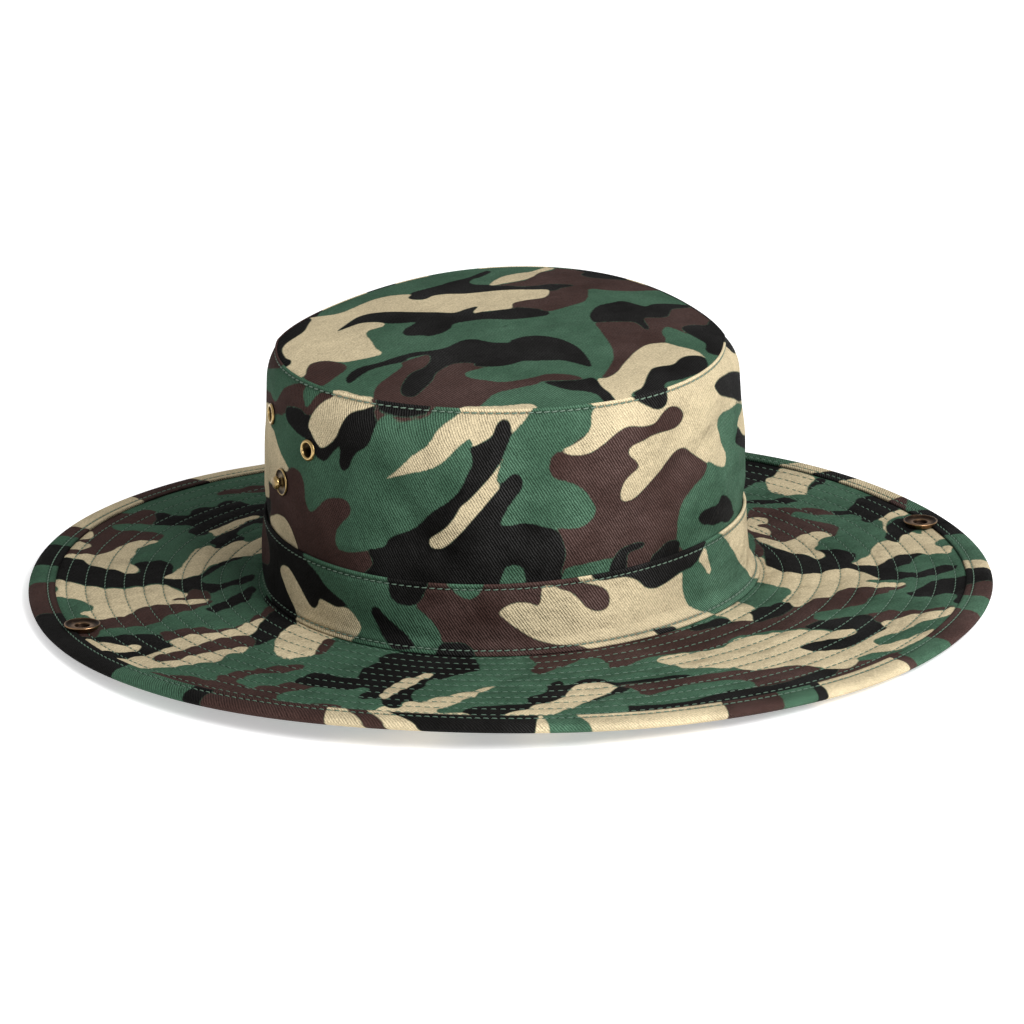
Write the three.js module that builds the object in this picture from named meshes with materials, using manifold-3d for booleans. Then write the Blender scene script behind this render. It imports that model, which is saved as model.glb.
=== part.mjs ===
// Bush hat: a soft cloth crown with a sewn band and a wide stitched brim, lying on its brim.
// Millimetres, +Z up. The wearer faces -Y, and left and right are as seen from the front.
import * as THREE from "three";
import { mergeVertices } from "three/addons/utils/BufferGeometryUtils.js";
import Module from "manifold-3d";

// Cloth thicknesses and the gap that sewn pieces keep to each other
const CROWN_CLOTH = 1.3;
const BAND_CLOTH = 1.0;
const BRIM_CLOTH = 1.4;
const BINDING_CLOTH = 1.0;
const GAP = 0.3;
const CROWN_FITTING_GAP = 0.5;

// Main sizes
const BRIM_WIDTH = 88.4;
const BINDING_WIDTH = 10.2;
const BRIM_TOP_AT_CROWN = 3.4;
const TIP_DOME = 4.3;
const TIP_DOME_POWER = 3;
const SEAM_RIM = 0.7;

// The binding's fold is a flattened half round, as shares of its half thickness and of its quarter turn
const FOLD_DEPTH = 0.8;
const FOLD_MIDWAY = 0.45;

// The crown leans: each oval rises toward this side by its lean for each millimetre outward
const LEAN_TOWARD = THREE.MathUtils.degToRad(70);

// The middle of the base oval, which puts the middle of the whole hat's box at the origin
const CROWN_MIDDLE = { x: -2.31, y: 0.0 };

// Ovals of the crown's outer face, from the floor up to the seam under the tip.
// half_x and half_y are half sizes, lobe is a mild three-sided fullness, and pinch draws in the
// back at both sides of the side that the crown leans to.
const OVALS = {
  floor: {
    height: 0.0, half_x: 96.2, half_y: 87.4, shift_x: 0.0, shift_y: 0.0, lobe: 0.024, pinch: 0, lean: 0.0,
  },
  base: {
    height: 3.4, half_x: 96.2, half_y: 87.4, shift_x: 0.0, shift_y: 0.0, lobe: 0.024, pinch: 0, lean: 0.0,
  },
  flare: {
    height: 9.5, half_x: 93.7, half_y: 84.7, shift_x: -1.6, shift_y: 0.6, lobe: 0.024, pinch: 0, lean: 0.006,
  },
  band: {
    height: 31.8, half_x: 92.4, half_y: 83.3, shift_x: -2.3, shift_y: 0.9, lobe: 0.024, pinch: 0, lean: 0.023,
  },
  seam: {
    height: 97.3, half_x: 85.1, half_y: 76.5, shift_x: -1.5, shift_y: 0.6, lobe: -0.028, pinch: 0.12,
    lean: 0.082,
  },
};
const { floor: FLOOR_OVAL, base: BASE, flare: FLARE, band: BAND_TOP, seam: SEAM } = OVALS;

// Above the band the side draws in slowly, then rounds over: share of the height, share of the way in
const ROUNDING = [
  { up: 0.0, inward: 0.0 },
  { up: 0.43, inward: 0.06 },
  { up: 0.62, inward: 0.24 },
  { up: 0.88, inward: 0.38 },
  { up: 1.0, inward: 1.0 },
];

// The side comes out from behind the band over this share of its height
const OUT_OF_BAND = 0.15;

// Soft dents in the crown's side: turn in degrees round the hat, sizes in millimetres
const DENTS = [
  { turn: 226, height: 52, half_width: 15, half_height: 30, slant: 12, depth: 1.7 },
  { turn: 251, height: 60, half_width: 13, half_height: 34, slant: -22, depth: 1.1 },
  { turn: 291, height: 62, half_width: 12, half_height: 32, slant: -38, depth: 1.8 },
  { turn: 322, height: 66, half_width: 13, half_height: 30, slant: 10, depth: 1.2 },
  { turn: 35, height: 58, half_width: 15, half_height: 32, slant: 25, depth: 1.6 },
  { turn: 78, height: 50, half_width: 14, half_height: 30, slant: -15, depth: 1.3 },
  { turn: 118, height: 64, half_width: 15, half_height: 34, slant: 20, depth: 1.7 },
];

// How far the brim's edge is off the floor, every 30 degrees round the hat. Below zero it lies flat.
const EDGE_LIFTS = [1.2, 3.4, 2.6, -1.0, 1.2, 2.7, 1.4, 4.4, 7.4, 4.8, 1.7, 1.3];

// The dents fade out over this height next to the band and to the top seam
const DENT_FADE = 12;

// Fittings: turn in degrees round the hat, heights up the crown and places out on the brim in millimetres
const STUDS = [
  { name: "left", turn: 186.6, height: 55.7 },
  { name: "right", turn: 4.4, height: 55 },
];
const EYELETS = [
  { name: "left_front", turn: 199.4, height: 74.1 },
  { name: "left_rear", turn: 177.5, height: 78.2 },
  { name: "right_front", turn: 353, height: 74 },
  { name: "right_rear", turn: 17, height: 76 },
];
const SOCKETS = [
  { name: "left", turn: 182.3, out: 75 },
  { name: "right", turn: 0.5, out: 75 },
];
const DRILL_DEPTH = 12;

// Radii of the turned fittings, how far they rise off the cloth, and their sheet metal
const METAL = 0.4;
const EYELET = {
  hole: 3.3, bore: 2.6, barrel: 3.0, crest_inner: 2.9, crest_outer: 3.5, flange: 4.05, rise: 0.8,
};
const STUD = {
  hole: 1.8, shank: 1.5, back: 4.8, flange: 5.0, crest: 4.2, dish: 3.4, neck: 1.7, knob: 2.25, rise: 3.9,
};
const SOCKET = {
  hole: 2.3, post: 2.0, boss: 2.8, cap: 6.2, dish: 6.7, crest: 6.1, inside: 5.5, mouth: 1.8, rise: 1.4,
};

// The stud's knob starts, is widest and rounds over at these shares of its rise
const KNOB = { start: 0.4, wide: 0.55, round: 0.8 };

// Facets
const STEPS_ROUND = 64;
const EYELET_SIDES = 12;
const STUD_SIDES = 12;
const SOCKET_SIDES = 16;
const WALL_RINGS = { outer: [42, 50, 60, 76, 87, 92], inner: [90, 76, 60, 50, 42] };
const BAND_RINGS = [6, 9.5, 20];
const BRIM_RINGS = [20, 42, 62];
const TIP_RINGS = [1, 0.96, 0.85, 0.65, 0.4];

// Small steps that measure which way the cloth faces: radians round the hat, and millimetres
const TURN_STEP = 0.02;
const STEP = 2;

const { degToRad, lerp, clamp } = THREE.MathUtils;

// Joining and cutting

const library = await Module();
library.setup();

function solidOf(geometry) {
  const bare = geometry.clone();
  bare.deleteAttribute("normal");
  bare.deleteAttribute("uv");
  const merged = mergeVertices(bare, 1e-4);
  return new library.Manifold(new library.Mesh({
    numProp: 3,
    vertProperties: new Float32Array(merged.attributes.position.array),
    triVerts: new Uint32Array(merged.index.array),
  }));
}

function geometryOf(solid) {
  const mesh = solid.getMesh();
  const geometry = new THREE.BufferGeometry();
  geometry.setAttribute("position", new THREE.BufferAttribute(new Float32Array(mesh.vertProperties), 3));
  geometry.setIndex(new THREE.BufferAttribute(new Uint32Array(mesh.triVerts), 1));
  geometry.computeVertexNormals();
  return geometry;
}

// Shapes of the cloth

function ovalPoint(oval, turn, outward = 0) {
  const fromBack = turn - LEAN_TOWARD;
  const pinch = oval.pinch * Math.max(0, Math.cos(fromBack)) * Math.sin(fromBack) ** 2;
  const fullness = 1 + oval.lobe * Math.cos(3 * turn) - pinch;
  const x = (oval.half_x * fullness + outward) * Math.cos(turn) + oval.shift_x;
  const y = (oval.half_y * fullness + outward) * Math.sin(turn) + oval.shift_y;
  const lean = oval.lean * (x * Math.cos(LEAN_TOWARD) + y * Math.sin(LEAN_TOWARD));
  return new THREE.Vector3(x + CROWN_MIDDLE.x, y + CROWN_MIDDLE.y, oval.height + lean);
}

function mixOvals(low, high, share, heightShare = share) {
  const mixed = {};
  for (const key of ["half_x", "half_y", "shift_x", "shift_y", "lobe", "pinch"]) {
    mixed[key] = lerp(low[key], high[key], share);
  }
  for (const key of ["height", "lean"]) mixed[key] = lerp(low[key], high[key], heightShare);
  return mixed;
}

function between(rows, key, value) {
  const above = rows.findIndex((row, index) => index > 0 && value <= row[key]);
  const index = above < 0 ? rows.length - 1 : above;
  const share = (value - rows[index - 1][key]) / (rows[index][key] - rows[index - 1][key]);
  return [rows[index - 1], rows[index], clamp(share, 0, 1)];
}

function ovalAt(height) {
  if (height <= BAND_TOP.height) {
    return mixOvals(...between([FLOOR_OVAL, BASE, FLARE, BAND_TOP], "height", height));
  }
  const up = (height - BAND_TOP.height) / (SEAM.height - BAND_TOP.height);
  const [low, high, share] = between(ROUNDING, "up", up);
  return mixOvals(BAND_TOP, SEAM, lerp(low.inward, high.inward, share), up);
}

function dentDepth(turn, height) {
  let depth = 0;
  for (const dent of DENTS) {
    const away = THREE.MathUtils.euclideanModulo(turn - degToRad(dent.turn) + Math.PI, 2 * Math.PI) - Math.PI;
    const along = away * BAND_TOP.half_x;
    const slant = degToRad(dent.slant);
    const rise = height - dent.height;
    const across = along * Math.cos(slant) + rise * Math.sin(slant);
    const upward = rise * Math.cos(slant) - along * Math.sin(slant);
    depth += dent.depth * Math.exp(-((across / dent.half_width) ** 2) - (upward / dent.half_height) ** 2);
  }
  const clearOfBand = clamp((height - BAND_TOP.height) / DENT_FADE, 0, 1);
  const clearOfSeam = clamp((SEAM.height - height) / DENT_FADE, 0, 1);
  return depth * clearOfBand * clearOfSeam;
}

// The crown's wall stays inside the band, and comes out from behind it just above its top
function wallPoint(turn, height, inward = 0) {
  const share = (height - BAND_TOP.height) / (SEAM.height - BAND_TOP.height);
  const underBand = (BAND_CLOTH + GAP) * (1 - clamp(share / OUT_OF_BAND, 0, 1));
  return ovalPoint(ovalAt(height), turn, -underBand - dentDepth(turn, height) - inward);
}

// A smooth curve through EDGE_LIFTS
function edgeLift(turn) {
  const place = (THREE.MathUtils.euclideanModulo(turn, 2 * Math.PI) / (2 * Math.PI)) * EDGE_LIFTS.length;
  const at = Math.floor(place);
  const share = place - at;
  const [before, start, end, after] = [-1, 0, 1, 2].map(
    (step) => EDGE_LIFTS[(at + step + EDGE_LIFTS.length) % EDGE_LIFTS.length]);
  const slope = (end - before) / 2;
  const bend = before - 2.5 * start + 2 * end - after / 2;
  const twist = 1.5 * (start - end) + (after - before) / 2;
  return Math.max(0, start + slope * share + bend * share ** 2 + twist * share ** 3);
}

// A point of the brim's middle surface, out from the base seam, and then up through the cloth
function brimPoint(turn, outward, up = 0) {
  const here = ovalPoint(BASE, turn);
  const along = ovalPoint(BASE, turn + TURN_STEP).sub(ovalPoint(BASE, turn - TURN_STEP)).normalize();
  const out = new THREE.Vector3(along.y, -along.x, 0);
  const levelFrom = BRIM_WIDTH - BINDING_WIDTH;
  const share = Math.min(1, outward / levelFrom);
  const inner = BRIM_TOP_AT_CROWN - BRIM_CLOTH / 2;
  const outer = BRIM_CLOTH / 2 + GAP + BINDING_CLOTH + edgeLift(turn);
  const point = here.addScaledVector(out, outward);
  point.z = lerp(inner, outer, share) + up;
  return point;
}

// A closed ring whose section at each turn is the loop of points that pointsAt gives
function ringGeometry(pointsAt) {
  const positions = [];
  const faces = [];
  const turns = Array.from({ length: STEPS_ROUND }, (_, step) => (2 * Math.PI * step) / STEPS_ROUND);
  const loops = turns.map(pointsAt);
  const count = loops[0].length;
  for (const loop of loops) for (const point of loop) positions.push(point.x, point.y, point.z);
  for (let step = 0; step < STEPS_ROUND; step += 1) {
    const here = step * count;
    const next = ((step + 1) % STEPS_ROUND) * count;
    for (let index = 0; index < count; index += 1) {
      const other = (index + 1) % count;
      faces.push(here + index, next + index, next + other, here + index, next + other, here + other);
    }
  }
  const geometry = new THREE.BufferGeometry();
  geometry.setAttribute("position", new THREE.Float32BufferAttribute(positions, 3));
  geometry.setIndex(faces);
  geometry.computeVertexNormals();
  return geometry;
}

// A closed sheet: rings from the rim in to a middle point, on top and underneath
function sheetGeometry(topAt, underAt, shares) {
  const positions = [];
  const faces = [];
  const rings = [...shares.map((share) => [topAt, share]), ...shares.map((share) => [underAt, share])];
  for (const [pointAt, share] of rings) {
    for (let step = 0; step < STEPS_ROUND; step += 1) {
      positions.push(...pointAt((2 * Math.PI * step) / STEPS_ROUND, share).toArray());
    }
  }
  const topMiddle = positions.length / 3;
  positions.push(...topAt(0, 0).toArray(), ...underAt(0, 0).toArray());
  const underFirst = shares.length * STEPS_ROUND;
  const band = (outer, inner, flip) => {
    for (let step = 0; step < STEPS_ROUND; step += 1) {
      const next = (step + 1) % STEPS_ROUND;
      const quad = [outer + step, outer + next, inner + next, inner + step];
      if (flip) quad.reverse();
      faces.push(quad[0], quad[1], quad[2], quad[0], quad[2], quad[3]);
    }
  };
  for (let ring = 0; ring + 1 < shares.length; ring += 1) {
    band(ring * STEPS_ROUND, (ring + 1) * STEPS_ROUND, false);
    band(underFirst + ring * STEPS_ROUND, underFirst + (ring + 1) * STEPS_ROUND, true);
  }
  band(0, underFirst, true);
  const lastTop = (shares.length - 1) * STEPS_ROUND;
  const lastUnder = underFirst + lastTop;
  for (let step = 0; step < STEPS_ROUND; step += 1) {
    const next = (step + 1) % STEPS_ROUND;
    faces.push(lastTop + step, lastTop + next, topMiddle);
    faces.push(lastUnder + next, lastUnder + step, topMiddle + 1);
  }
  const geometry = new THREE.BufferGeometry();
  geometry.setAttribute("position", new THREE.Float32BufferAttribute(positions, 3));
  geometry.setIndex(faces);
  geometry.computeVertexNormals();
  return geometry;
}

// Fittings are turned about an axis that stands square on the cloth

function placeOn(geometry, point, outward) {
  const turned = new THREE.Quaternion().setFromUnitVectors(new THREE.Vector3(0, 1, 0), outward);
  return geometry.applyQuaternion(turned).translate(point.x, point.y, point.z);
}

function turnedGeometry(profile, sides) {
  return new THREE.LatheGeometry(profile.map(([radius, height]) => new THREE.Vector2(radius, height)), sides);
}

function wallPlace(turn, height) {
  const across = wallPoint(turn + TURN_STEP, height).sub(wallPoint(turn - TURN_STEP, height));
  const upward = wallPoint(turn, height + STEP).sub(wallPoint(turn, height - STEP));
  return { point: wallPoint(turn, height, CROWN_CLOTH / 2), outward: across.cross(upward).normalize() };
}

function brimPlace(turn, outward) {
  const across = brimPoint(turn + TURN_STEP, outward).sub(brimPoint(turn - TURN_STEP, outward));
  const along = brimPoint(turn, outward + STEP).sub(brimPoint(turn, outward - STEP));
  return { point: brimPoint(turn, outward), outward: along.cross(across).normalize() };
}

function cutHoles(geometry, places, radius, sides) {
  let solid = solidOf(geometry);
  for (const place of places) {
    const drill = new THREE.CylinderGeometry(radius, radius, DRILL_DEPTH, sides);
    solid = solid.subtract(solidOf(placeOn(drill, place.point, place.outward)));
  }
  return geometryOf(solid);
}

const studPlaces = STUDS.map((row) => wallPlace(degToRad(row.turn), row.height));
const eyeletPlaces = EYELETS.map((row) => wallPlace(degToRad(row.turn), row.height));
const socketPlaces = SOCKETS.map((row) => brimPlace(degToRad(row.turn), row.out));

// Cloth pieces

function crownSide() {
  const top = SEAM.height - 2 * GAP;
  const outer = [FLOOR_OVAL.height, BASE.height, FLARE.height, BAND_TOP.height, ...WALL_RINGS.outer, top];
  const inner = [top, ...WALL_RINGS.inner, BAND_TOP.height, FLARE.height, FLOOR_OVAL.height];
  const wall = ringGeometry((turn) => [
    ...outer.map((height) => wallPoint(turn, height)),
    ...inner.map((height) => wallPoint(turn, height, CROWN_CLOTH)),
  ]);
  const drilled = cutHoles(wall, eyeletPlaces, EYELET.hole, EYELET_SIDES);
  return cutHoles(drilled, studPlaces, STUD.hole, STUD_SIDES);
}

function tipPoint(turn, share, below) {
  const point = ovalPoint(SEAM, turn);
  const middle = { x: CROWN_MIDDLE.x + SEAM.shift_x, y: CROWN_MIDDLE.y + SEAM.shift_y };
  const x = lerp(middle.x, point.x, share);
  const y = lerp(middle.y, point.y, share);
  const lean = SEAM.lean * ((x - CROWN_MIDDLE.x) * Math.cos(LEAN_TOWARD)
    + (y - CROWN_MIDDLE.y) * Math.sin(LEAN_TOWARD));
  const dome = TIP_DOME * (1 - share ** TIP_DOME_POWER);
  return new THREE.Vector3(x, y, SEAM.height + lean + dome - below);
}

function crownTip() {
  const top = (turn, share) => tipPoint(turn, share, -SEAM_RIM);
  const under = (turn, share) => tipPoint(turn, share, share === 1 ? GAP : CROWN_CLOTH - SEAM_RIM);
  return sheetGeometry(top, under, TIP_RINGS);
}

function hatBand() {
  const heights = [BRIM_TOP_AT_CROWN + GAP, ...BAND_RINGS, BAND_TOP.height];
  return ringGeometry((turn) => [
    ...heights.map((height) => ovalPoint(ovalAt(height), turn)),
    ...heights.toReversed().map((height) => ovalPoint(ovalAt(height), turn, -BAND_CLOTH)),
  ]);
}

function brimSheet() {
  const outer = BRIM_WIDTH - BINDING_CLOTH - 2 * GAP;
  const places = [-BAND_CLOTH, ...BRIM_RINGS, BRIM_WIDTH - BINDING_WIDTH, outer];
  const half = BRIM_CLOTH / 2;
  const sheet = ringGeometry((turn) => [
    ...places.map((place) => brimPoint(turn, place, -half)),
    ...places.toReversed().map((place) => brimPoint(turn, place, half)),
  ]);
  return cutHoles(sheet, socketPlaces, SOCKET.hole, SOCKET_SIDES);
}

function brimBinding() {
  const inner = BRIM_WIDTH - BINDING_WIDTH;
  const fold = BRIM_WIDTH - BINDING_CLOTH - GAP;
  const near = BRIM_CLOTH / 2 + GAP;
  const far = near + BINDING_CLOTH;
  const round = (share) => [
    BRIM_WIDTH - far * FOLD_DEPTH * (1 - Math.cos((share * Math.PI) / 2)),
    far * Math.sin((share * Math.PI) / 2),
  ];
  const section = [
    [inner, -far], ...[-1, -FOLD_MIDWAY, 0, FOLD_MIDWAY, 1].map(round), [inner, far],
    [inner, near], [fold, near], [fold, -near], [inner, -near],
  ];
  return ringGeometry((turn) => section.map(([outward, up]) => brimPoint(turn, outward, up)));
}

// Metal fittings, as profiles of radius and height about the middle of the cloth.
// METAL is the thickness of their sheet metal.

function eyelet(place) {
  const face = CROWN_CLOTH / 2 + CROWN_FITTING_GAP;
  const profile = [
    [EYELET.bore, -face - METAL], [EYELET.flange, -face - METAL], [EYELET.flange, -face],
    [EYELET.barrel, -face], [EYELET.barrel, face], [EYELET.flange, face],
    [EYELET.flange, face + METAL], [EYELET.crest_outer, face + EYELET.rise],
    [EYELET.crest_inner, face + EYELET.rise], [EYELET.bore, face + METAL], [EYELET.bore, -face - METAL],
  ];
  return placeOn(turnedGeometry(profile, EYELET_SIDES), place.point, place.outward);
}

function stud(place) {
  const face = CROWN_CLOTH / 2 + CROWN_FITTING_GAP;
  const top = face + STUD.rise;
  const profile = [
    [0, -face - 2 * METAL], [STUD.back - METAL, -face - 2 * METAL], [STUD.back, -face],
    [STUD.shank, -face], [STUD.shank, face], [STUD.flange, face],
    [STUD.flange, face + METAL], [STUD.crest, face + 2 * METAL], [STUD.dish, face + METAL],
    [STUD.neck, face + METAL], [STUD.neck, lerp(face, top, KNOB.start)],
    [STUD.knob, lerp(face, top, KNOB.wide)], [STUD.knob, lerp(face, top, KNOB.round)],
    [STUD.shank, top - METAL / 2], [0, top],
  ];
  return placeOn(turnedGeometry(profile, STUD_SIDES), place.point, place.outward);
}

// The socket's dish and cap stand clear of the binding, which starts close beside its post
function socket(place) {
  const face = BRIM_CLOTH / 2 + GAP;
  const clear = face + BINDING_CLOTH + GAP;
  const profile = [
    [0, -clear - 2 * METAL], [SOCKET.cap - METAL, -clear - 2 * METAL], [SOCKET.cap, -clear - METAL],
    [SOCKET.cap, -clear], [SOCKET.boss, -clear], [SOCKET.boss, -face],
    [SOCKET.post, -face], [SOCKET.post, face], [SOCKET.boss, face], [SOCKET.boss, clear],
    [SOCKET.cap, clear], [SOCKET.dish, clear + METAL], [SOCKET.dish, clear + 2 * METAL],
    [SOCKET.crest, clear + SOCKET.rise], [SOCKET.inside, clear + 2 * METAL],
    [SOCKET.boss, clear + METAL], [SOCKET.mouth, clear], [SOCKET.mouth, face + METAL], [0, face + METAL],
  ];
  return placeOn(turnedGeometry(profile, SOCKET_SIDES), place.point, place.outward);
}

// Materials

const cloth = { color: 0x2f5142, roughness: 0.92, metalness: 0.0 };
const brass = { color: 0x8a6d3a, roughness: 0.38, metalness: 1.0 };

function addMesh(group, name, geometry, look) {
  const mesh = new THREE.Mesh(geometry, new THREE.MeshStandardMaterial(look));
  mesh.name = name;
  group.add(mesh);
}

const hat = new THREE.Group();
addMesh(hat, "crown_tip", crownTip(), cloth);
addMesh(hat, "crown_side", crownSide(), cloth);
addMesh(hat, "hat_band", hatBand(), cloth);
addMesh(hat, "brim", brimSheet(), cloth);
addMesh(hat, "brim_binding", brimBinding(), cloth);
STUDS.forEach((row, index) => addMesh(hat, `crown_stud_${row.name}`, stud(studPlaces[index]), brass));
SOCKETS.forEach((row, index) => addMesh(hat, `brim_socket_${row.name}`, socket(socketPlaces[index]), brass));
EYELETS.forEach((row, index) => addMesh(hat, `eyelet_${row.name}`, eyelet(eyeletPlaces[index]), brass));

export default hat;
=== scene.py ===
"""Bush hat: the sewn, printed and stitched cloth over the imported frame, with its brass fittings."""
import math

import bpy
import numpy as np
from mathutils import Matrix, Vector


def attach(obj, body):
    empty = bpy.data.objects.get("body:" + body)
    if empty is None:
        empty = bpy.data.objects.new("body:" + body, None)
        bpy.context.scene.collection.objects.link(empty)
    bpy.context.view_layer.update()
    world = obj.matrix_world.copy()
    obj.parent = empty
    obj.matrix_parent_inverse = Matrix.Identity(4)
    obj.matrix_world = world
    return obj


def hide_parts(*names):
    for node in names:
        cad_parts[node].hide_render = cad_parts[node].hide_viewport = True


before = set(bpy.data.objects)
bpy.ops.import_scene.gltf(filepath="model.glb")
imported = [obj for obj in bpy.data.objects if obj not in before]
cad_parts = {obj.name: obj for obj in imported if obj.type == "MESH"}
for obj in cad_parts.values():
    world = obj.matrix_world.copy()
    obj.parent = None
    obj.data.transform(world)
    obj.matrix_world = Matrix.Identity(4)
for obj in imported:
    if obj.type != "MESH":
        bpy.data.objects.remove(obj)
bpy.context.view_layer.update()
MM = 0.001
FULL_TURN = 2 * math.pi

# The frame's shapes, in millimetres

BRIM_WIDTH = 88.4
BINDING_WIDTH = 10.2
BRIM_TOP_AT_CROWN = 3.4
BRIM_CLOTH = 1.4
BINDING_CLOTH = 1.0
GAP = 0.3
BAND_CLOTH = 1.0
CROWN_CLOTH = 1.3
TIP_DOME = 4.3
TIP_MIDDLE_OVER_SEAM = 0.7
LEAN_TOWARD = math.radians(70)
CROWN_X = -2.31
CROWN_RADIUS = 92.4
BAND_TOP = 31.8
SEAM = 97.3
DENT_FADE = 12.0
SMALL_TURN = 0.02

# Ovals of the crown's outer face: height, half sizes, shifts, lobe, pinch of the back, lean
OVALS = np.array([
    (0.0, 96.2, 87.4, 0.0, 0.0, 0.024, 0.0, 0.0),
    (3.4, 96.2, 87.4, 0.0, 0.0, 0.024, 0.0, 0.0),
    (9.5, 93.7, 84.7, -1.6, 0.6, 0.024, 0.0, 0.006),
    (31.8, 92.4, 83.3, -2.3, 0.9, 0.024, 0.0, 0.023),
    (97.3, 85.1, 76.5, -1.5, 0.6, -0.028, 0.12, 0.082),
])
BASE_OVAL, BAND_OVAL, SEAM_OVAL = OVALS[1], OVALS[3], OVALS[4]
EVEN_COLUMNS = (0, 7)
# Share of the height above the band, share of the way in, carried on past the seam
ROUNDING = ((-0.1, -0.006), (0.0, 0.0), (0.43, 0.06), (0.62, 0.24), (0.88, 0.38), (1.0, 1.0), (1.1, 1.52))
ROUNDING_SPREAD = np.linspace(-0.05, 0.05, 5)
OUT_OF_BAND = 0.15
# Soft dents: turn in degrees, height, half width, half height, slant in degrees, depth
DENTS = (
    (226, 52, 15, 30, 12, 1.7), (251, 60, 13, 34, -22, 1.1), (291, 62, 12, 32, -38, 1.8),
    (322, 66, 13, 30, 10, 1.2), (35, 58, 15, 32, 25, 1.6), (78, 50, 14, 30, -15, 1.3),
    (118, 64, 15, 34, 20, 1.7),
)
# Narrower folds, which only this visual model has, in the same columns
FOLDS = (
    (302, 67, 5, 26, -72, 1.7), (231, 57, 6, 18, 40, 1.7), (256, 63, 6, 22, -25, 1.2), (246, 90, 5, 14, 0, 0.6),
    (208, 74, 8, 22, 15, 0.8), (270, 80, 7, 20, 30, 0.8), (306, 45, 7, 18, -10, 0.8), (10, 60, 7, 24, 20, 0.9),
    (55, 70, 7, 22, -30, 0.9), (95, 55, 8, 24, 25, 1.0), (140, 66, 7, 24, -15, 0.8), (165, 50, 7, 20, 10, 0.7),
)
# How far the brim's edge is off the floor, every 30 degrees round the hat
EDGE_LIFTS = np.array([1.2, 3.4, 2.6, -1.0, 1.2, 2.7, 1.4, 4.4, 7.4, 4.8, 1.7, 1.3])


def smooth(before, start, end, after, share):
    """A place on the smooth curve through four points, between the middle two."""
    bend = before - 2.5 * start + 2 * end - after / 2
    twist = 1.5 * (start - end) + (after - before) / 2
    return start + (end - before) / 2 * share + bend * share ** 2 + twist * share ** 3


def oval_sizes(height):
    """The crown's oval at each height, as the columns of OVALS."""
    up = np.clip((height - BAND_TOP) / (SEAM - BAND_TOP), 0, None)
    inward = sum(np.interp(up + step, *zip(*ROUNDING)) for step in ROUNDING_SPREAD) / len(ROUNDING_SPREAD)
    inward = np.where(up > 0, inward, 0)
    sizes = []
    for column, (band, seam) in enumerate(zip(BAND_OVAL, SEAM_OVAL)):
        low = np.interp(height, OVALS[:4, 0], OVALS[:4, column])
        sizes.append(low + (seam - band) * (up if column in EVEN_COLUMNS else inward))
    return sizes


def fullness(turn, lobe, pinch):
    """How far an oval bulges at its three lobes and draws in at its back."""
    from_back = turn - LEAN_TOWARD
    drawn_in = pinch * np.maximum(0, np.cos(from_back)) * np.sin(from_back) ** 2
    return 1 + lobe * np.cos(3 * turn) - drawn_in


def oval_point(sizes, turn, outward=0.0):
    """A point on an oval, out from it by outward, as x, y, z in the part's frame."""
    height, half_x, half_y, shift_x, shift_y, lobe, pinch, lean = sizes
    full = fullness(turn, lobe, pinch)
    x = (half_x * full + outward) * np.cos(turn) + shift_x
    y = (half_y * full + outward) * np.sin(turn) + shift_y
    rise = lean * (x * math.cos(LEAN_TOWARD) + y * math.sin(LEAN_TOWARD))
    return np.stack(np.broadcast_arrays(x + CROWN_X, y, height + rise), -1)


def dent_depth(turn, height):
    depth = 0.0
    for at, middle, half_width, half_height, slant, deep in DENTS + FOLDS:
        along = ((turn - math.radians(at) + math.pi) % FULL_TURN - math.pi) * CROWN_RADIUS
        rise = height - middle
        slant = math.radians(slant)
        across = along * math.cos(slant) + rise * math.sin(slant)
        upward = rise * math.cos(slant) - along * math.sin(slant)
        depth = depth + deep * np.exp(-(across / half_width) ** 2 - (upward / half_height) ** 2)
    fade = np.clip((height - BAND_TOP) / DENT_FADE, 0, 1) * np.clip((SEAM - height) / DENT_FADE, 0, 1)
    return depth * fade


def wall(turn, height, outward=0.0):
    """The crown's wall; outward is measured from its outer face."""
    share = (height - BAND_TOP) / (SEAM - BAND_TOP)
    under_band = (BAND_CLOTH + GAP) * (1 - np.clip(share / OUT_OF_BAND, 0, 1))
    return oval_point(oval_sizes(height), turn, outward - under_band - dent_depth(turn, height))


def edge_lift(turn):
    place = (turn % FULL_TURN) / FULL_TURN * len(EDGE_LIFTS)
    at = np.floor(place).astype(int)
    lifts = (EDGE_LIFTS[(at + step) % len(EDGE_LIFTS)] for step in (-1, 0, 1, 2))
    return np.maximum(0, smooth(*lifts, place - at))


def brim(turn, outward, up=0.0):
    """A point of the brim's middle surface, out from the base seam, then up through the cloth."""
    here = oval_point(BASE_OVAL, turn)
    along = oval_point(BASE_OVAL, turn + SMALL_TURN) - oval_point(BASE_OVAL, turn - SMALL_TURN)
    length = np.hypot(along[..., 0], along[..., 1])
    share = np.minimum(1, outward / (BRIM_WIDTH - BINDING_WIDTH))
    inner = BRIM_TOP_AT_CROWN - BRIM_CLOTH / 2
    outer = BRIM_CLOTH / 2 + GAP + BINDING_CLOTH + edge_lift(turn)
    x = here[..., 0] + along[..., 1] / length * outward
    y = here[..., 1] - along[..., 0] / length * outward
    z = inner + (outer - inner) * share + up
    return np.stack(np.broadcast_arrays(x, y, z), -1)


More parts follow.
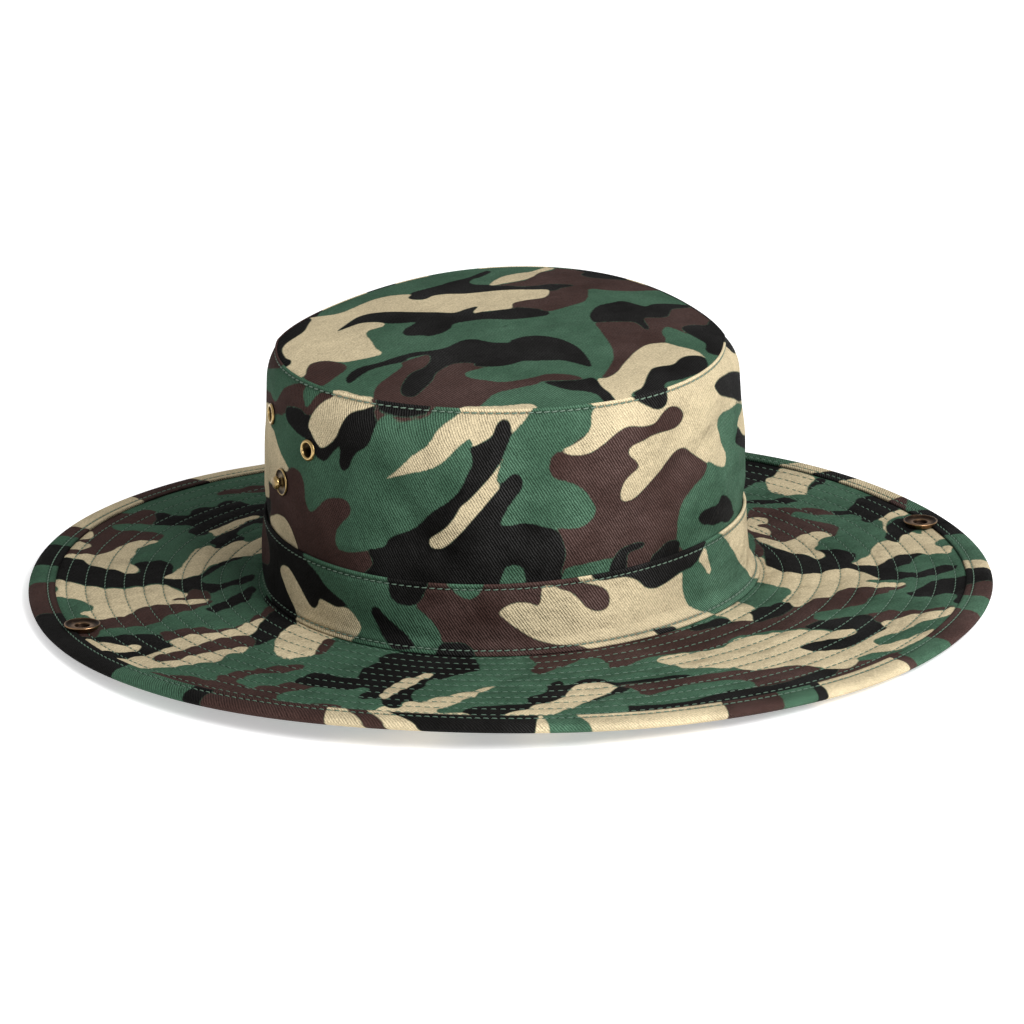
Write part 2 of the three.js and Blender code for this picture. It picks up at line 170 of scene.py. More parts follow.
def tip(turn, share, above):
    """The crown's tip, from its middle at share 0 to the seam at 1."""
    height, half_x, half_y, shift_x, shift_y, lobe, pinch, lean = SEAM_OVAL
    full = fullness(turn, lobe, pinch)
    x = half_x * full * np.cos(turn) * share + shift_x
    y = half_y * full * np.sin(turn) * share + shift_y
    rise = lean * (x * math.cos(LEAN_TOWARD) + y * math.sin(LEAN_TOWARD))
    z = height + rise + TIP_DOME * (1 - share ** 3) + TIP_MIDDLE_OVER_SEAM + above
    return np.stack(np.broadcast_arrays(x + CROWN_X, y, z), -1)


# The print

# The charts are drawn in millimetres on a green ground, later shapes over earlier ones.
# Each shape is an ink and the points of its outline. On the side and band they go along the cloth from
# the front left and up it, and on the tip and brim they are as seen from above.
SIDE_PRINT = """
brown -160,66 -150,74.5 -140,77.7 -130,82 -120,84.2 -115,85.4 -110,84.2 -106,85 -102.5,88.5 -99.5,92 -95,94.6
-90.5,96.5 -84,97 -74,97 -68,96.5 -72,88 -78,82 -90,84 -97,83 -99.5,81.5 -104,80.5 -110,78.3 -116,77 -130,74
-145,69 -160,62
brown -116.5,49 -108,51 -101,57 -95,60.5 -92,62.5 -88.5,64 -84,64.2 -80.5,62 -79,58 -78.6,54 -76.8,51 -74.5,50.5
-71,53 -67,57 -62,59.2 -57,59.6 -54.2,57.5 -54.5,54 -57.5,50.5 -60.2,47 -61,43 -59.8,39.2 -55,38.8 -50,40 -44,42
-38,43 -36,30 -120,30 -120,40 -117,44
black -158,31 -140,35.8 -130,39.2 -120,42.2 -116,43.5 -113,42.5 -116,38 -122,34.5 -135,28 -158,24
tan -171,60 -160,65.5 -150,69.6 -140,73.2 -130,76.6 -121,79.5 -114.5,80 -113.5,73.2 -108.5,72.2 -104,69
-99.5,66.2 -95,64.3 -91.7,62.5 -94,60.8 -98,60.5 -104,57 -110,51 -117,50 -115.8,47 -116,43.5 -120,42.2 -130,39.2
-140,35.8 -155,31.3 -168,33 -175,42 -176,52
tan -119.4,34.4 -110,38.3 -103,40.9 -95.5,41.7 -91,39.4 -88,35 -87.8,30 -104,27 -120,30
black -95.8,84.3 -94,86.6 -90,87.7 -84,88.5 -79.5,87.5 -70,90 -60,92 -57,94.6 -50,97.2 -46.5,96.4 -45.6,93.5
-45.6,90 -46.6,85.4 -48.5,82 -52,79.6 -54.5,76.2 -55.7,73 -58,70.8 -60,71.2 -61,73.8 -60.7,77.7 -61.3,79.4
-62.6,78.5 -65.7,75 -68,72.4 -70.3,72 -73.4,73 -75.4,76.4 -80,78 -84,78.4 -90,79.6 -94.5,81.3
green -86,102 -85.2,95 -83,92 -81,90.3 -79.3,91.2 -77.5,95 -75.5,97 -73,98 -73,102
tan -66.8,101 -69.5,96.5 -72.6,94.2 -75.3,90.8 -77.2,87.3 -78.4,83.5 -76.8,81.5 -74.2,78.8 -71.5,76.9 -69.5,77.1
-66.5,79.2 -63.4,82.3 -61.5,85.8 -60.3,88.8 -58.8,91.9 -56.5,93.8 -52.6,95.2 -50,96.4 -47.5,98 -46.5,101
brown -50,102 -49,96 -45.2,92 -45,93 -42.7,94.5 -40,94.3 -36.5,93 -32,94 -27,95.3 -25,97.5 -25,102
black -48,102 -47,96 -42,95 -36,94.6 -30,95.6 -27,97 -27,102
brown 20,76.9 20.6,80.5 22.7,82.8 26,83.5 40,92 60,96 80,90 90,75 92.5,63.3 92.3,60.8 90.4,58.5 86.5,56.9
82.7,55.4 78.8,53.1 76.5,50.8 75,46.9 74.2,43.1 74.4,38.5 75.5,36 76,27 24,27 24.6,40 23.5,50 22,53 27.3,52.2
31.2,52.3 34.6,53.8 36.5,56.2 36.9,58.8 35,63.1 32.7,66.5 29.6,69.2 25.8,71.2 22.7,72.3 20.8,73.8
black 0.5,94.5 2.7,95.6 4.8,95.2 6,93 6.3,91 5,87.3 3.5,83 2.3,80 0.5,77 2,72 3,72 5.8,74.6 8,75.4 10,73.5
10.4,70.8 10,69 8,66 5.8,63 4.2,60 3,57 2.7,55.4 5.8,55 10.4,55.8 14.2,55.4 18.8,53.8 22,52.4 24,49 25.5,42
24,34 24,27 -45,27 -44,36 -46,41.5 -43,42.5 -39.6,44 -38,47 -34,49.8 -30,51.5 -26,54.6 -22.5,59 -20,61.5
-16.5,64.2 -13,67.7 -10.8,71.5 -9,76 -7.5,80 -8.2,84.5 -8.6,86.2 -7.3,86.5 -1,90
tan -39.6,70.9 -36.9,73.5 -34.2,76.2 -31.9,78.8 -30,81.2 -26.9,83.5 -24.2,85.8 -22.3,88.8 -21.2,91.5 -18.8,93.8
-15.8,95.8 -13.5,97.7 -13.5,102 14.5,102 14.2,99.1 12.7,96.9 10.4,94.6 8.1,92.7 6.3,91.2 5.8,93.8 4.6,95.2
2.7,95.4 0.8,94.2 -0.4,91.2 -1.9,89.6 -4.2,88.1 -7.3,86.5 -7.7,87.7 -8.8,89.2 -10.8,88.1 -13.5,85.4 -16.5,81.9
-20,78.8 -24.2,76.5 -29.6,74.8 -35,72.7
tan 3.2,81.5 1.9,78.8 0,76.2 -2.3,73.1 -5.8,68.8 -8.8,65.4 -11.2,63.1 -13.1,59.2 -15,56.2 -17.3,53.5 -20,51.2
-21.9,49.6 -22.5,47.7 -21.5,45.8 -19.2,45.4 -16.5,46.5 -13.1,50 -10,53.8 -6.5,58.5 -2.7,63.5 0.4,67.7 2.3,70.4
1.2,73.1 1.5,76.2 2.3,78.8
green 2.5,32 3.5,35.8 4.6,38.5 6.5,39.2 8.8,39.2 10.4,37.7 11,35.4 11.4,32 11.4,27 2.5,27
green 25,27 25,34 26,36 31,36.6 38,37 43,37 44.3,35 44,27
black 43,33 44.5,36.5 47,39.5 50,40.5 55,41 58,40 57,38.5 51,37.5 50.5,34 50,27 43,27
black 62,33 65,35 69,37.5 72.5,37.5 75.5,36.5 76.8,34.5 76.5,32 76,27 62,27
tan 38.5,97.7 36.5,95.4 35.8,91.5 33.5,88.1 29.6,85.4 25.8,83.8 25,82.7 27.3,81.2 31.2,80.4 35,80.8 39.6,83.1
44.2,86.2 48.1,88.1 51.5,88.5 56.5,87.3 60,86.9 63.1,87.3 65.8,89.6 68.8,91.2 71.5,91.4 75,90 77.7,87.3 77.9,85
76.2,83.1 73.5,82.2 70,82.2 65.8,82.5 61.2,82.5 57.3,81.5 52.7,80.8 50.8,79.2 51.2,76.9 53.5,74.6 55,72.7
55.4,71.2 54.2,70.4 51.2,68.8 48.5,66.2 47.3,62.3 48.1,59.6 50.4,58.5 53.5,58.5 57.3,60 62.7,63.1 67.3,66.2
71.2,70 74.2,72.3 77.7,72.9 80.8,71.9 85,68.8 88.8,65.8 92.3,63.1 94.2,63.1 98.1,60.8 101.9,58.8 105.8,57.3
108.1,56.9 109.6,58.5 109.5,61.2 107.3,64.2 105.4,66.9 104.6,70.4 103.5,73.5 103.8,76.2 105.8,77.5 109.6,77.7
115.8,76.9 121.9,76.5 126,75.8 144,70 152,74 150,84 144,90 138,91.3 132,94 130.5,97 130.5,102 38.8,102
black 130.5,104 130.5,97 132,94 138,91.3 146,90.5 156,92 168,95 190,97 215,99 215,104
brown -175,104 -168,90 -155,84 -145,85 -138,87.5 -125,91.5 -113,95.5 -107,98.5 -104,104
black 53,99.5 56.5,96.5 60,94.2 63,92.5 65.8,92 68.5,93 69.5,95.4 70,99.5 70,103 53,103
black 99.6,90.8 101.2,91.9 105,92.3 111.2,91.7 117.3,90.8 124.2,88.8 131.2,86.2 137.3,83.8 143.5,81.5 150,77
149,70.5 141,72.3 133.5,74.2 126.5,76.5 120,79.6 114.2,81.9 110.4,83.5 105.8,85.4 102.3,87.7
black 87.7,42.7 90.4,44.2 95,44.5 98.8,44 101.9,44.6 103.8,46.2 106.5,45.8 110.4,43.8 113.5,41.2 115.8,38.5
117.7,35.8 120,34.6 114.2,33.1 110,33.5 106.5,35 103.5,35.4 98.8,36 95,37.3 90.4,38.8 88.1,40.8
tan 123.8,67.7 126.5,70 131,70.4 137.3,70.4 143.5,68.5 151,64.6 153,60 148,57 143.5,57.3 137.3,59.2 130,62.3
125.8,66.2
black 120,63 122,65.4 124.2,66.9 130,62.3 137.3,59.2 148,56.5 151,53 141,53 129.6,57 122,60.8
"""
BAND_PRINT = """
black -160,31 -120,34 -84,33 -79.4,30.1 -72.2,27.3 -65.6,22.9 -60,20.3 -56,18.5 -54,15 -60,8 -85,1 -104,1 -110,5
-125,8 -150,12 -164,20
brown -160,29 -135,31 -118,26 -115,18 -125,14 -150,10 -166,18
tan -101.1,19.6 -98.3,21.8 -94.4,22.9 -91.1,23.1 -87.8,22 -83.3,19 -78.9,15.1 -75.6,12.6 -72.8,12.1 -70.6,14
-69.8,16.2 -68.3,17 -64.4,16.6 -60,16 -55.6,16.8 -52.2,15.1 -49.4,12.3 -48.7,9.8 -50.6,6.8 -53.3,4.6 -56.1,0
-84.4,0 -84.7,5.1 -85.6,7.9 -88.3,10.1 -92.2,12.9 -96.7,15.7 -100,17.3
brown -24,35 -27,23 -24.4,19.6 -21.1,16.2 -18.5,12 -18,9 -14,7 -10,5 -10,-1 44,-1 46,35
black -37,35 -37,29 -36.5,25.2 -34,22.4 -30,21.8 -27,22.8 -24,27 -23,35
black -19.4,7.3 -14.4,8.7 -10,8.3 -8,5 -9,-1 -22,-1
black -43.9,17.3 -43.3,19.6 -41.1,19.6 -37.8,16.2 -33.3,12.3 -30,9.6 -28.3,6.2 -32.2,4.6 -36.7,4.6 -38.9,7.3
-41.7,12.9
green -15,31 -11.5,27.5 -8,26.2 -5,28 -3.5,31 -3,35 -16,35
black 35,35 36,31 38.9,29.3 46.7,29 51.1,27.9 54.4,25.7 57.8,22.3 62.2,21 66.7,21.6 72.2,23.4 75.5,24.4 80,24.6
85,26.2 88.9,29 90.5,31 90.5,35
tan 1.7,20.7 4.4,23.4 8.3,24.6 12.2,24 15,22.7 16.1,24.6 16.7,29 17.8,30.4 20.6,30.1 23.3,28.4 26.7,26.8 29.4,24
32.2,20.1 35.6,17.9 38.9,17.6 41.1,19 41.7,21.8 40.6,25.1 37.8,27.3 34.4,28.7 31.1,30.1 30,32 29,35 35,35
35.5,31 38.9,29.3 46.7,29 51.1,27.9 54.4,25.7 57.8,22.3 62.2,21 66.7,21.6 72.2,23.4 75,24 75.6,22.9 75,19.6
75.6,14 77.8,10.1 82.2,6.8 87.8,4 89,-1 32,-1 31,3.4 26.7,5.7 20,6.8 13.3,9.6 7.8,14 3.9,17.9
tan 85.6,26.2 88.9,29 90.6,29.3 91.3,27.3 92,24 93.1,20.7 92.2,18.8 90.6,19.6 88.9,22.3 87.2,24.6
tan 103.3,35 104,30.7 106.7,27.9 110,24 113.3,20.7 116.7,16.2 120.6,12.9 125,10.1 126.1,9 125.3,7.3 127.8,5.7
133.3,4 140,3 152,4 160,12 156,22 160,35
black 57.2,6.2 60,5.7 65.6,5.3 67.2,4.2 65.6,3.4 58.9,3.8 57.8,4.9
black 73.9,2.9 77.8,3.4 82.2,2.6 82,-1 74,-1
"""
TIP_PRINT = """
brown -83.5,-11 -81,-7.5 -78.9,-5.2 -75,-5 -72,-7 -68.5,-12.5 -69.5,-17 -75,-21.5 -79.5,-24.8 -82,-25 -84.5,-19
-85,-14
black -92,-4 -96,20 -88,42 -70,62 -55,61 -57.5,52 -61,45 -66,36 -72,27 -80,16 -82.5,8 -83,0 -87,-2.5
black -90,-26 -84,-27 -78,-32 -80,-36 -90,-34
tan -86,-30 -78,-31.5 -75,-34 -72,-39 -66,-45 -68,-50 -90,-36
brown -48,-20 -50,-24 -57,-30 -63,-35 -67,-42 -68,-50 -60,-60 -44,-70 -36,-66 -31,-62 -26,-58 -20,-57 -10,-56
-6,-54.5 3,-56.5 8,-57 7,-54 3,-51 -3,-49.3 -10,-50.5 -20,-50.5 -27,-46 -31,-42 -30,-38 -20,-36 -12,-36 -10,-20
-30,-16
black -72.5,-28 -71,-23 -65,-18 -57,-17 -50,-15 -42,-13.2 -35,-14 -29,-13 -25,-10.5 -21,-8.5 -16.5,-9 -12,-14
-6,-16.5 -4,-14.5 2,-12.5 8,-14 12.5,-18 15.5,-24 16.8,-31 16.5,-40 15,-47.4 12,-45 9.4,-42 6,-39 -2,-37
-7,-35.5 -12,-37 -18,-37 -25,-34 -25,-31 -32,-29 -40,-34 -44,-40 -50,-46 -54,-49 -57,-47 -57,-43 -54,-37 -49,-31
-43,-28 -39,-23 -38,-17.5 -45,-17.5 -48,-20 -55,-20.5 -62,-22 -68,-26 -71,-28.5
tan -43,-66 -40,-63 -34,-65 -26,-67.5 -16,-69.7 -18,-76 -32,-76 -44,-70
black -6,-55 2,-56.5 8,-57 12,-56.5 13,-61 14,-69 15,-76 10,-76 9,-70 6,-66.5 0,-63.5 -4,-59
brown 33,-6 31,-15 30,-24 28.5,-34 25,-44 18,-54 15,-58 17.5,-57.8 22.5,-54.3 27.5,-48 31.3,-43.6 36.3,-38
42.5,-33 47.5,-32 50,-32 52,-28 53,-22 57,-16.5 60,-20 62,-24 66,-26 80,-22 84,0 76,7 66,4 60,-3 46,-5
black 32,-6 32.5,0 35,5 40,11 46,13.5 51.5,15 55,11 58,7.5 62,10 68,10.5 76,9 75,6 68,4 65,0 62,-5 58,-6 52,-6
50,-16 48,-18 47,-10 42,-8 36,-7
black 62.8,-18 66,-15.5 70,-15 74,-15 79,-9 88,-20 82,-36 73,-47 67,-45.5 64,-44 63.2,-40.4 65.6,-34.2 64,-28
62.3,-22
tan 12.8,-61.1 13.8,-58 17.5,-57.8 22.5,-54.3 27.5,-48 31.3,-43.6 36.3,-38 42.5,-33 47.5,-32 50.6,-32.4 53.8,-36
57.5,-39 59.4,-41.5 60,-44.3 60.2,-47.4 58.1,-45.2 53.8,-45.2 50,-47.4 45.6,-51.8 40,-52.8 36.3,-54.3 32.5,-59.3
28.8,-65.5 26.3,-68.6 21.9,-71.1 18.8,-76 14.5,-76 13.8,-69.3 12.8,-65.5
black 60,-48 58.1,-45.2 53.8,-45.2 50,-47.4 45.6,-51.8 40,-52.8 36.3,-54.3 32.5,-59.3 28.8,-65.5 26.3,-68.6
22,-72 26,-76 33,-74 37,-66 44,-64 52,-60 58,-55
black -60.6,21 -52,30 -45,36 -38,36 -14,25 -3,26 -4,18 8,18.5 10,18.3 16.3,14.5 19.4,10.1 17.5,6.4 10,5.8
3.1,6.4 -1.3,8.3 -6.3,10.1 -15,10.1 -18.8,8.9 -21.9,4.5 -26.3,1.4 -31.3,0.1 -33.8,2 -38.8,3.9 -39.4,7 -37.5,10.8
-33.8,13.9 -31.3,16.4 -35,17.3 -40,18.9 -42.5,20.8 -47,24 -54,23
brown 10,46.5 15,47.3 20,48.5 25,50 28.8,53.9 31.9,57 35,60.1 40,62 43.1,65.8 44.5,74 60,66 75,45 82,28.3
70,28.3 60,27 51.3,28.9 45,32 42.5,28.3 40,22 36.3,17 31.3,14.5 22.5,10.8 18.8,10.8 16.3,14.5 10,18.3 7.5,18
5,30 28,33 28,38
black -24,43 -23,49 -20,52.6 -15,54.5 -8.8,56.4 -2.5,59.5 5,62 10,65.8 13.8,68.9 16.5,70.3 16.9,67.6 14.4,64.5
10,60.8 6.3,58.9 3.8,55.1 4.4,51.4 8.8,48.9 10.5,46.8 16,44.5 20,41.8 26,41 32,41.5 38,39.5 40,37.5 34,35.5
28,33 0,36
black 50,62 58,60 66,52 72,44 66,43 58,45 51,48 49,53 52,57
tan -64.4,44.5 -60,43.3 -55,41.8 -50,43.3 -42.5,48.3 -36.3,51.8 -30.6,53 -25.6,52 -21.9,49.8 -23.8,47 -24.1,44.5
-21.9,41.4 -18.8,41.4 -15,43.9 -10,43.9 -3.8,41.4 2.5,40.5 10,40.1 16.3,38.9 22.5,36.8 28.1,35.1 28.1,32
25.6,27.6 22.5,25.5 16.3,25.1 11.3,23.9 9.4,22 7.5,18 1.3,18 -3.8,18.3 -7.5,17.6 -6.9,20.1 -3.8,24.5 -8.8,23.3
-14.4,21 -20,23.9 -27.5,27.6 -35,32 -40,33.9 -45,34.3 -50,32 -55,27 -60.6,21 -55,23.3 -50,25.1 -45,23.5
-42.5,20.8 -43.8,17.6 -47.5,16.4 -50.6,15.1 -52.5,11.4 -52.8,4.5 -53.5,-3 -52.9,-7.4 -53.8,-9.9 -58.8,-10.8
-63.8,-10.8 -67.5,-10.5 -70.6,-8.5 -72.5,-6.5 -75.6,-4.9 -79.4,-5.2 -82,-9 -84.5,-14 -90,-14 -93,-5 -86.5,-1.5
-85,1 -84.7,3 -85.6,6 -84.4,14.4 -80.8,20.3 -74.9,25.3 -71,29.4 -67.5,36 -64.5,41.5
tan 9.6,47.6 10,49.3 13.8,53.9 18.8,58.3 25,60.8 30.6,61.6 35,64.5 38.8,67.6 41,69.8 42.8,67.6 41.9,65.1
38.8,62.6 35,60.1 31.9,57 29.4,53.9 25,50.8 20,49.3 15,48.3 11.9,47.3
"""
FRONT_PRINT = """
black -68,-145 -64,-142.5 -54,-143.5 -46,-144 -43.5,-141 -42.5,-137 -40,-135 -35,-133.5 -32,-129 -30,-124
-26,-121 -23.8,-120.8 -24,-124 -25,-127 -20,-124 -15,-121.5 -10.5,-122 -8,-125 -6,-129 2,-128.7 10,-128.7
18,-127.5 22,-130 4,-134 -8,-140 -30,-152 -45,-158 -60,-156 -72,-151
brown -6.5,-133 -4,-131.5 5,-131.5 15,-130.5 30,-130 42,-129.5 48,-131.5 58,-131 65,-131 68,-134 71,-138
75,-139.5 82,-138 86,-134 92,-133 100,-130 109,-127.5 114,-124 120,-119 125,-114 130,-118 120,-130 104,-142
90,-146 80,-150 66,-154 50,-156 30,-154 24,-153 30,-150 36,-150 40,-147 39,-141 32,-139 22,-139 15,-140 10,-143
4,-145 0,-146.5 -3,-144 -2,-140
black -12,-156 -9,-157.5 2,-158.5 10,-158 16,-156 26,-151 31,-149.5 40,-150 50,-148 60,-143 66,-139.5 70,-137
75,-140 68,-147 63,-150 60,-153 55,-156 50,-157 44,-158 38,-161 32,-164 24,-167 12,-169 -2,-168 -14,-166
-13,-159
brown -20,-84 -24,-97 -27,-101 -29.5,-106 -27,-109 -22,-107 -19,-104.5 -14,-102 -10,-100 -8,-97.5 -3,-97
-0.5,-100 0,-106 -1,-110.5 6,-110 11,-107 20,-104 44,-102 56,-93 80,-93 94,-102 74,-110 74,-117 88,-120 102,-112
111,-104 110.5,-100 115,-96 120,-95.5 133,-93 143,-91.5 144,-89.5 133,-90 128,-89 123,-88 120,-86 110,-87
103,-87 92,-87 90,-85 91,-82 93,-78.5 97,-78.5 105,-77.5 113,-76.5 116,-74 119,-70 123,-68 127,-68 130,-65
134,-65 137.5,-63 137,-61 126,-59 118,-56 108,-61 99,-63 93,-66 84,-72 75,-77 60,-77 40,-78 20,-82
black 83,-92 88,-89 92,-87 97,-88 103,-87 109,-87.5 111,-90 110,-95 111,-100 111,-103 109,-105 104,-108 98,-112
92,-116 87,-118.5 83,-119.5 79,-119 75,-117.5 72,-115 72,-112 76,-109 82,-107.5 93,-105 97,-101 92,-99 88,-97
85,-95
tan -58.5,-155 -55,-153 -52,-152 -48,-151 -45,-148 -42,-146 -38,-144 -34,-143 -30,-140 -28,-137 -26,-134
-24,-131 -21,-128 -17,-126 -13.5,-125.2 -10.5,-127 -8.5,-130 -7.2,-133.5 -10,-137 -13,-140 -17,-143 -22,-146
-26,-149 -30,-152 -34,-154 -38,-157 -42,-158.5 -45,-157.5 -50,-156.5 -55,-156
tan 18,-108 21,-105.5 27,-104.5 34,-104 41,-104.5 46,-103 50,-99 54,-95.5 58,-94.2 66,-95 70,-93.8 80,-94.5
84,-96 88,-98.5 92,-100 96,-100 99,-100.5 99,-103 97,-105.5 93,-107 88,-108 82,-108.5 77,-109 74,-110
72.2,-112.5 72.5,-115 75,-117.5 79,-119 83,-119.5 87,-118.5 92,-116 98,-112 104,-108 109,-105 111,-103
110.5,-100 111,-98 113,-96.5 117,-95.5 120,-95.5 123,-94 128,-93 138,-93 142,-91 144,-91.5 142,-95 140,-97.5
137,-99.5 133,-100 128,-101.5 123,-103.5 120,-106 116,-108 112,-109.5 107,-111 103,-113 100.5,-114.5 99.5,-117
100.5,-119 103,-120.5 107,-119 113,-117 117,-114.5 121,-112.5 126,-111 124,-114.5 120,-118 115,-121 110,-124
106,-126.5 100,-127 94,-127.5 90,-128.5 86.5,-130.5 86,-133 84,-136 80,-139 76,-139.7 73,-138.5 70.5,-135.5
67.5,-134 66,-131.5 60,-130.2 54,-131.5 49,-131 44,-130 41.5,-128 41,-125.5 36,-125 31,-123 26,-121 22.5,-120
21.5,-116 19,-114 17.5,-111.5
"""
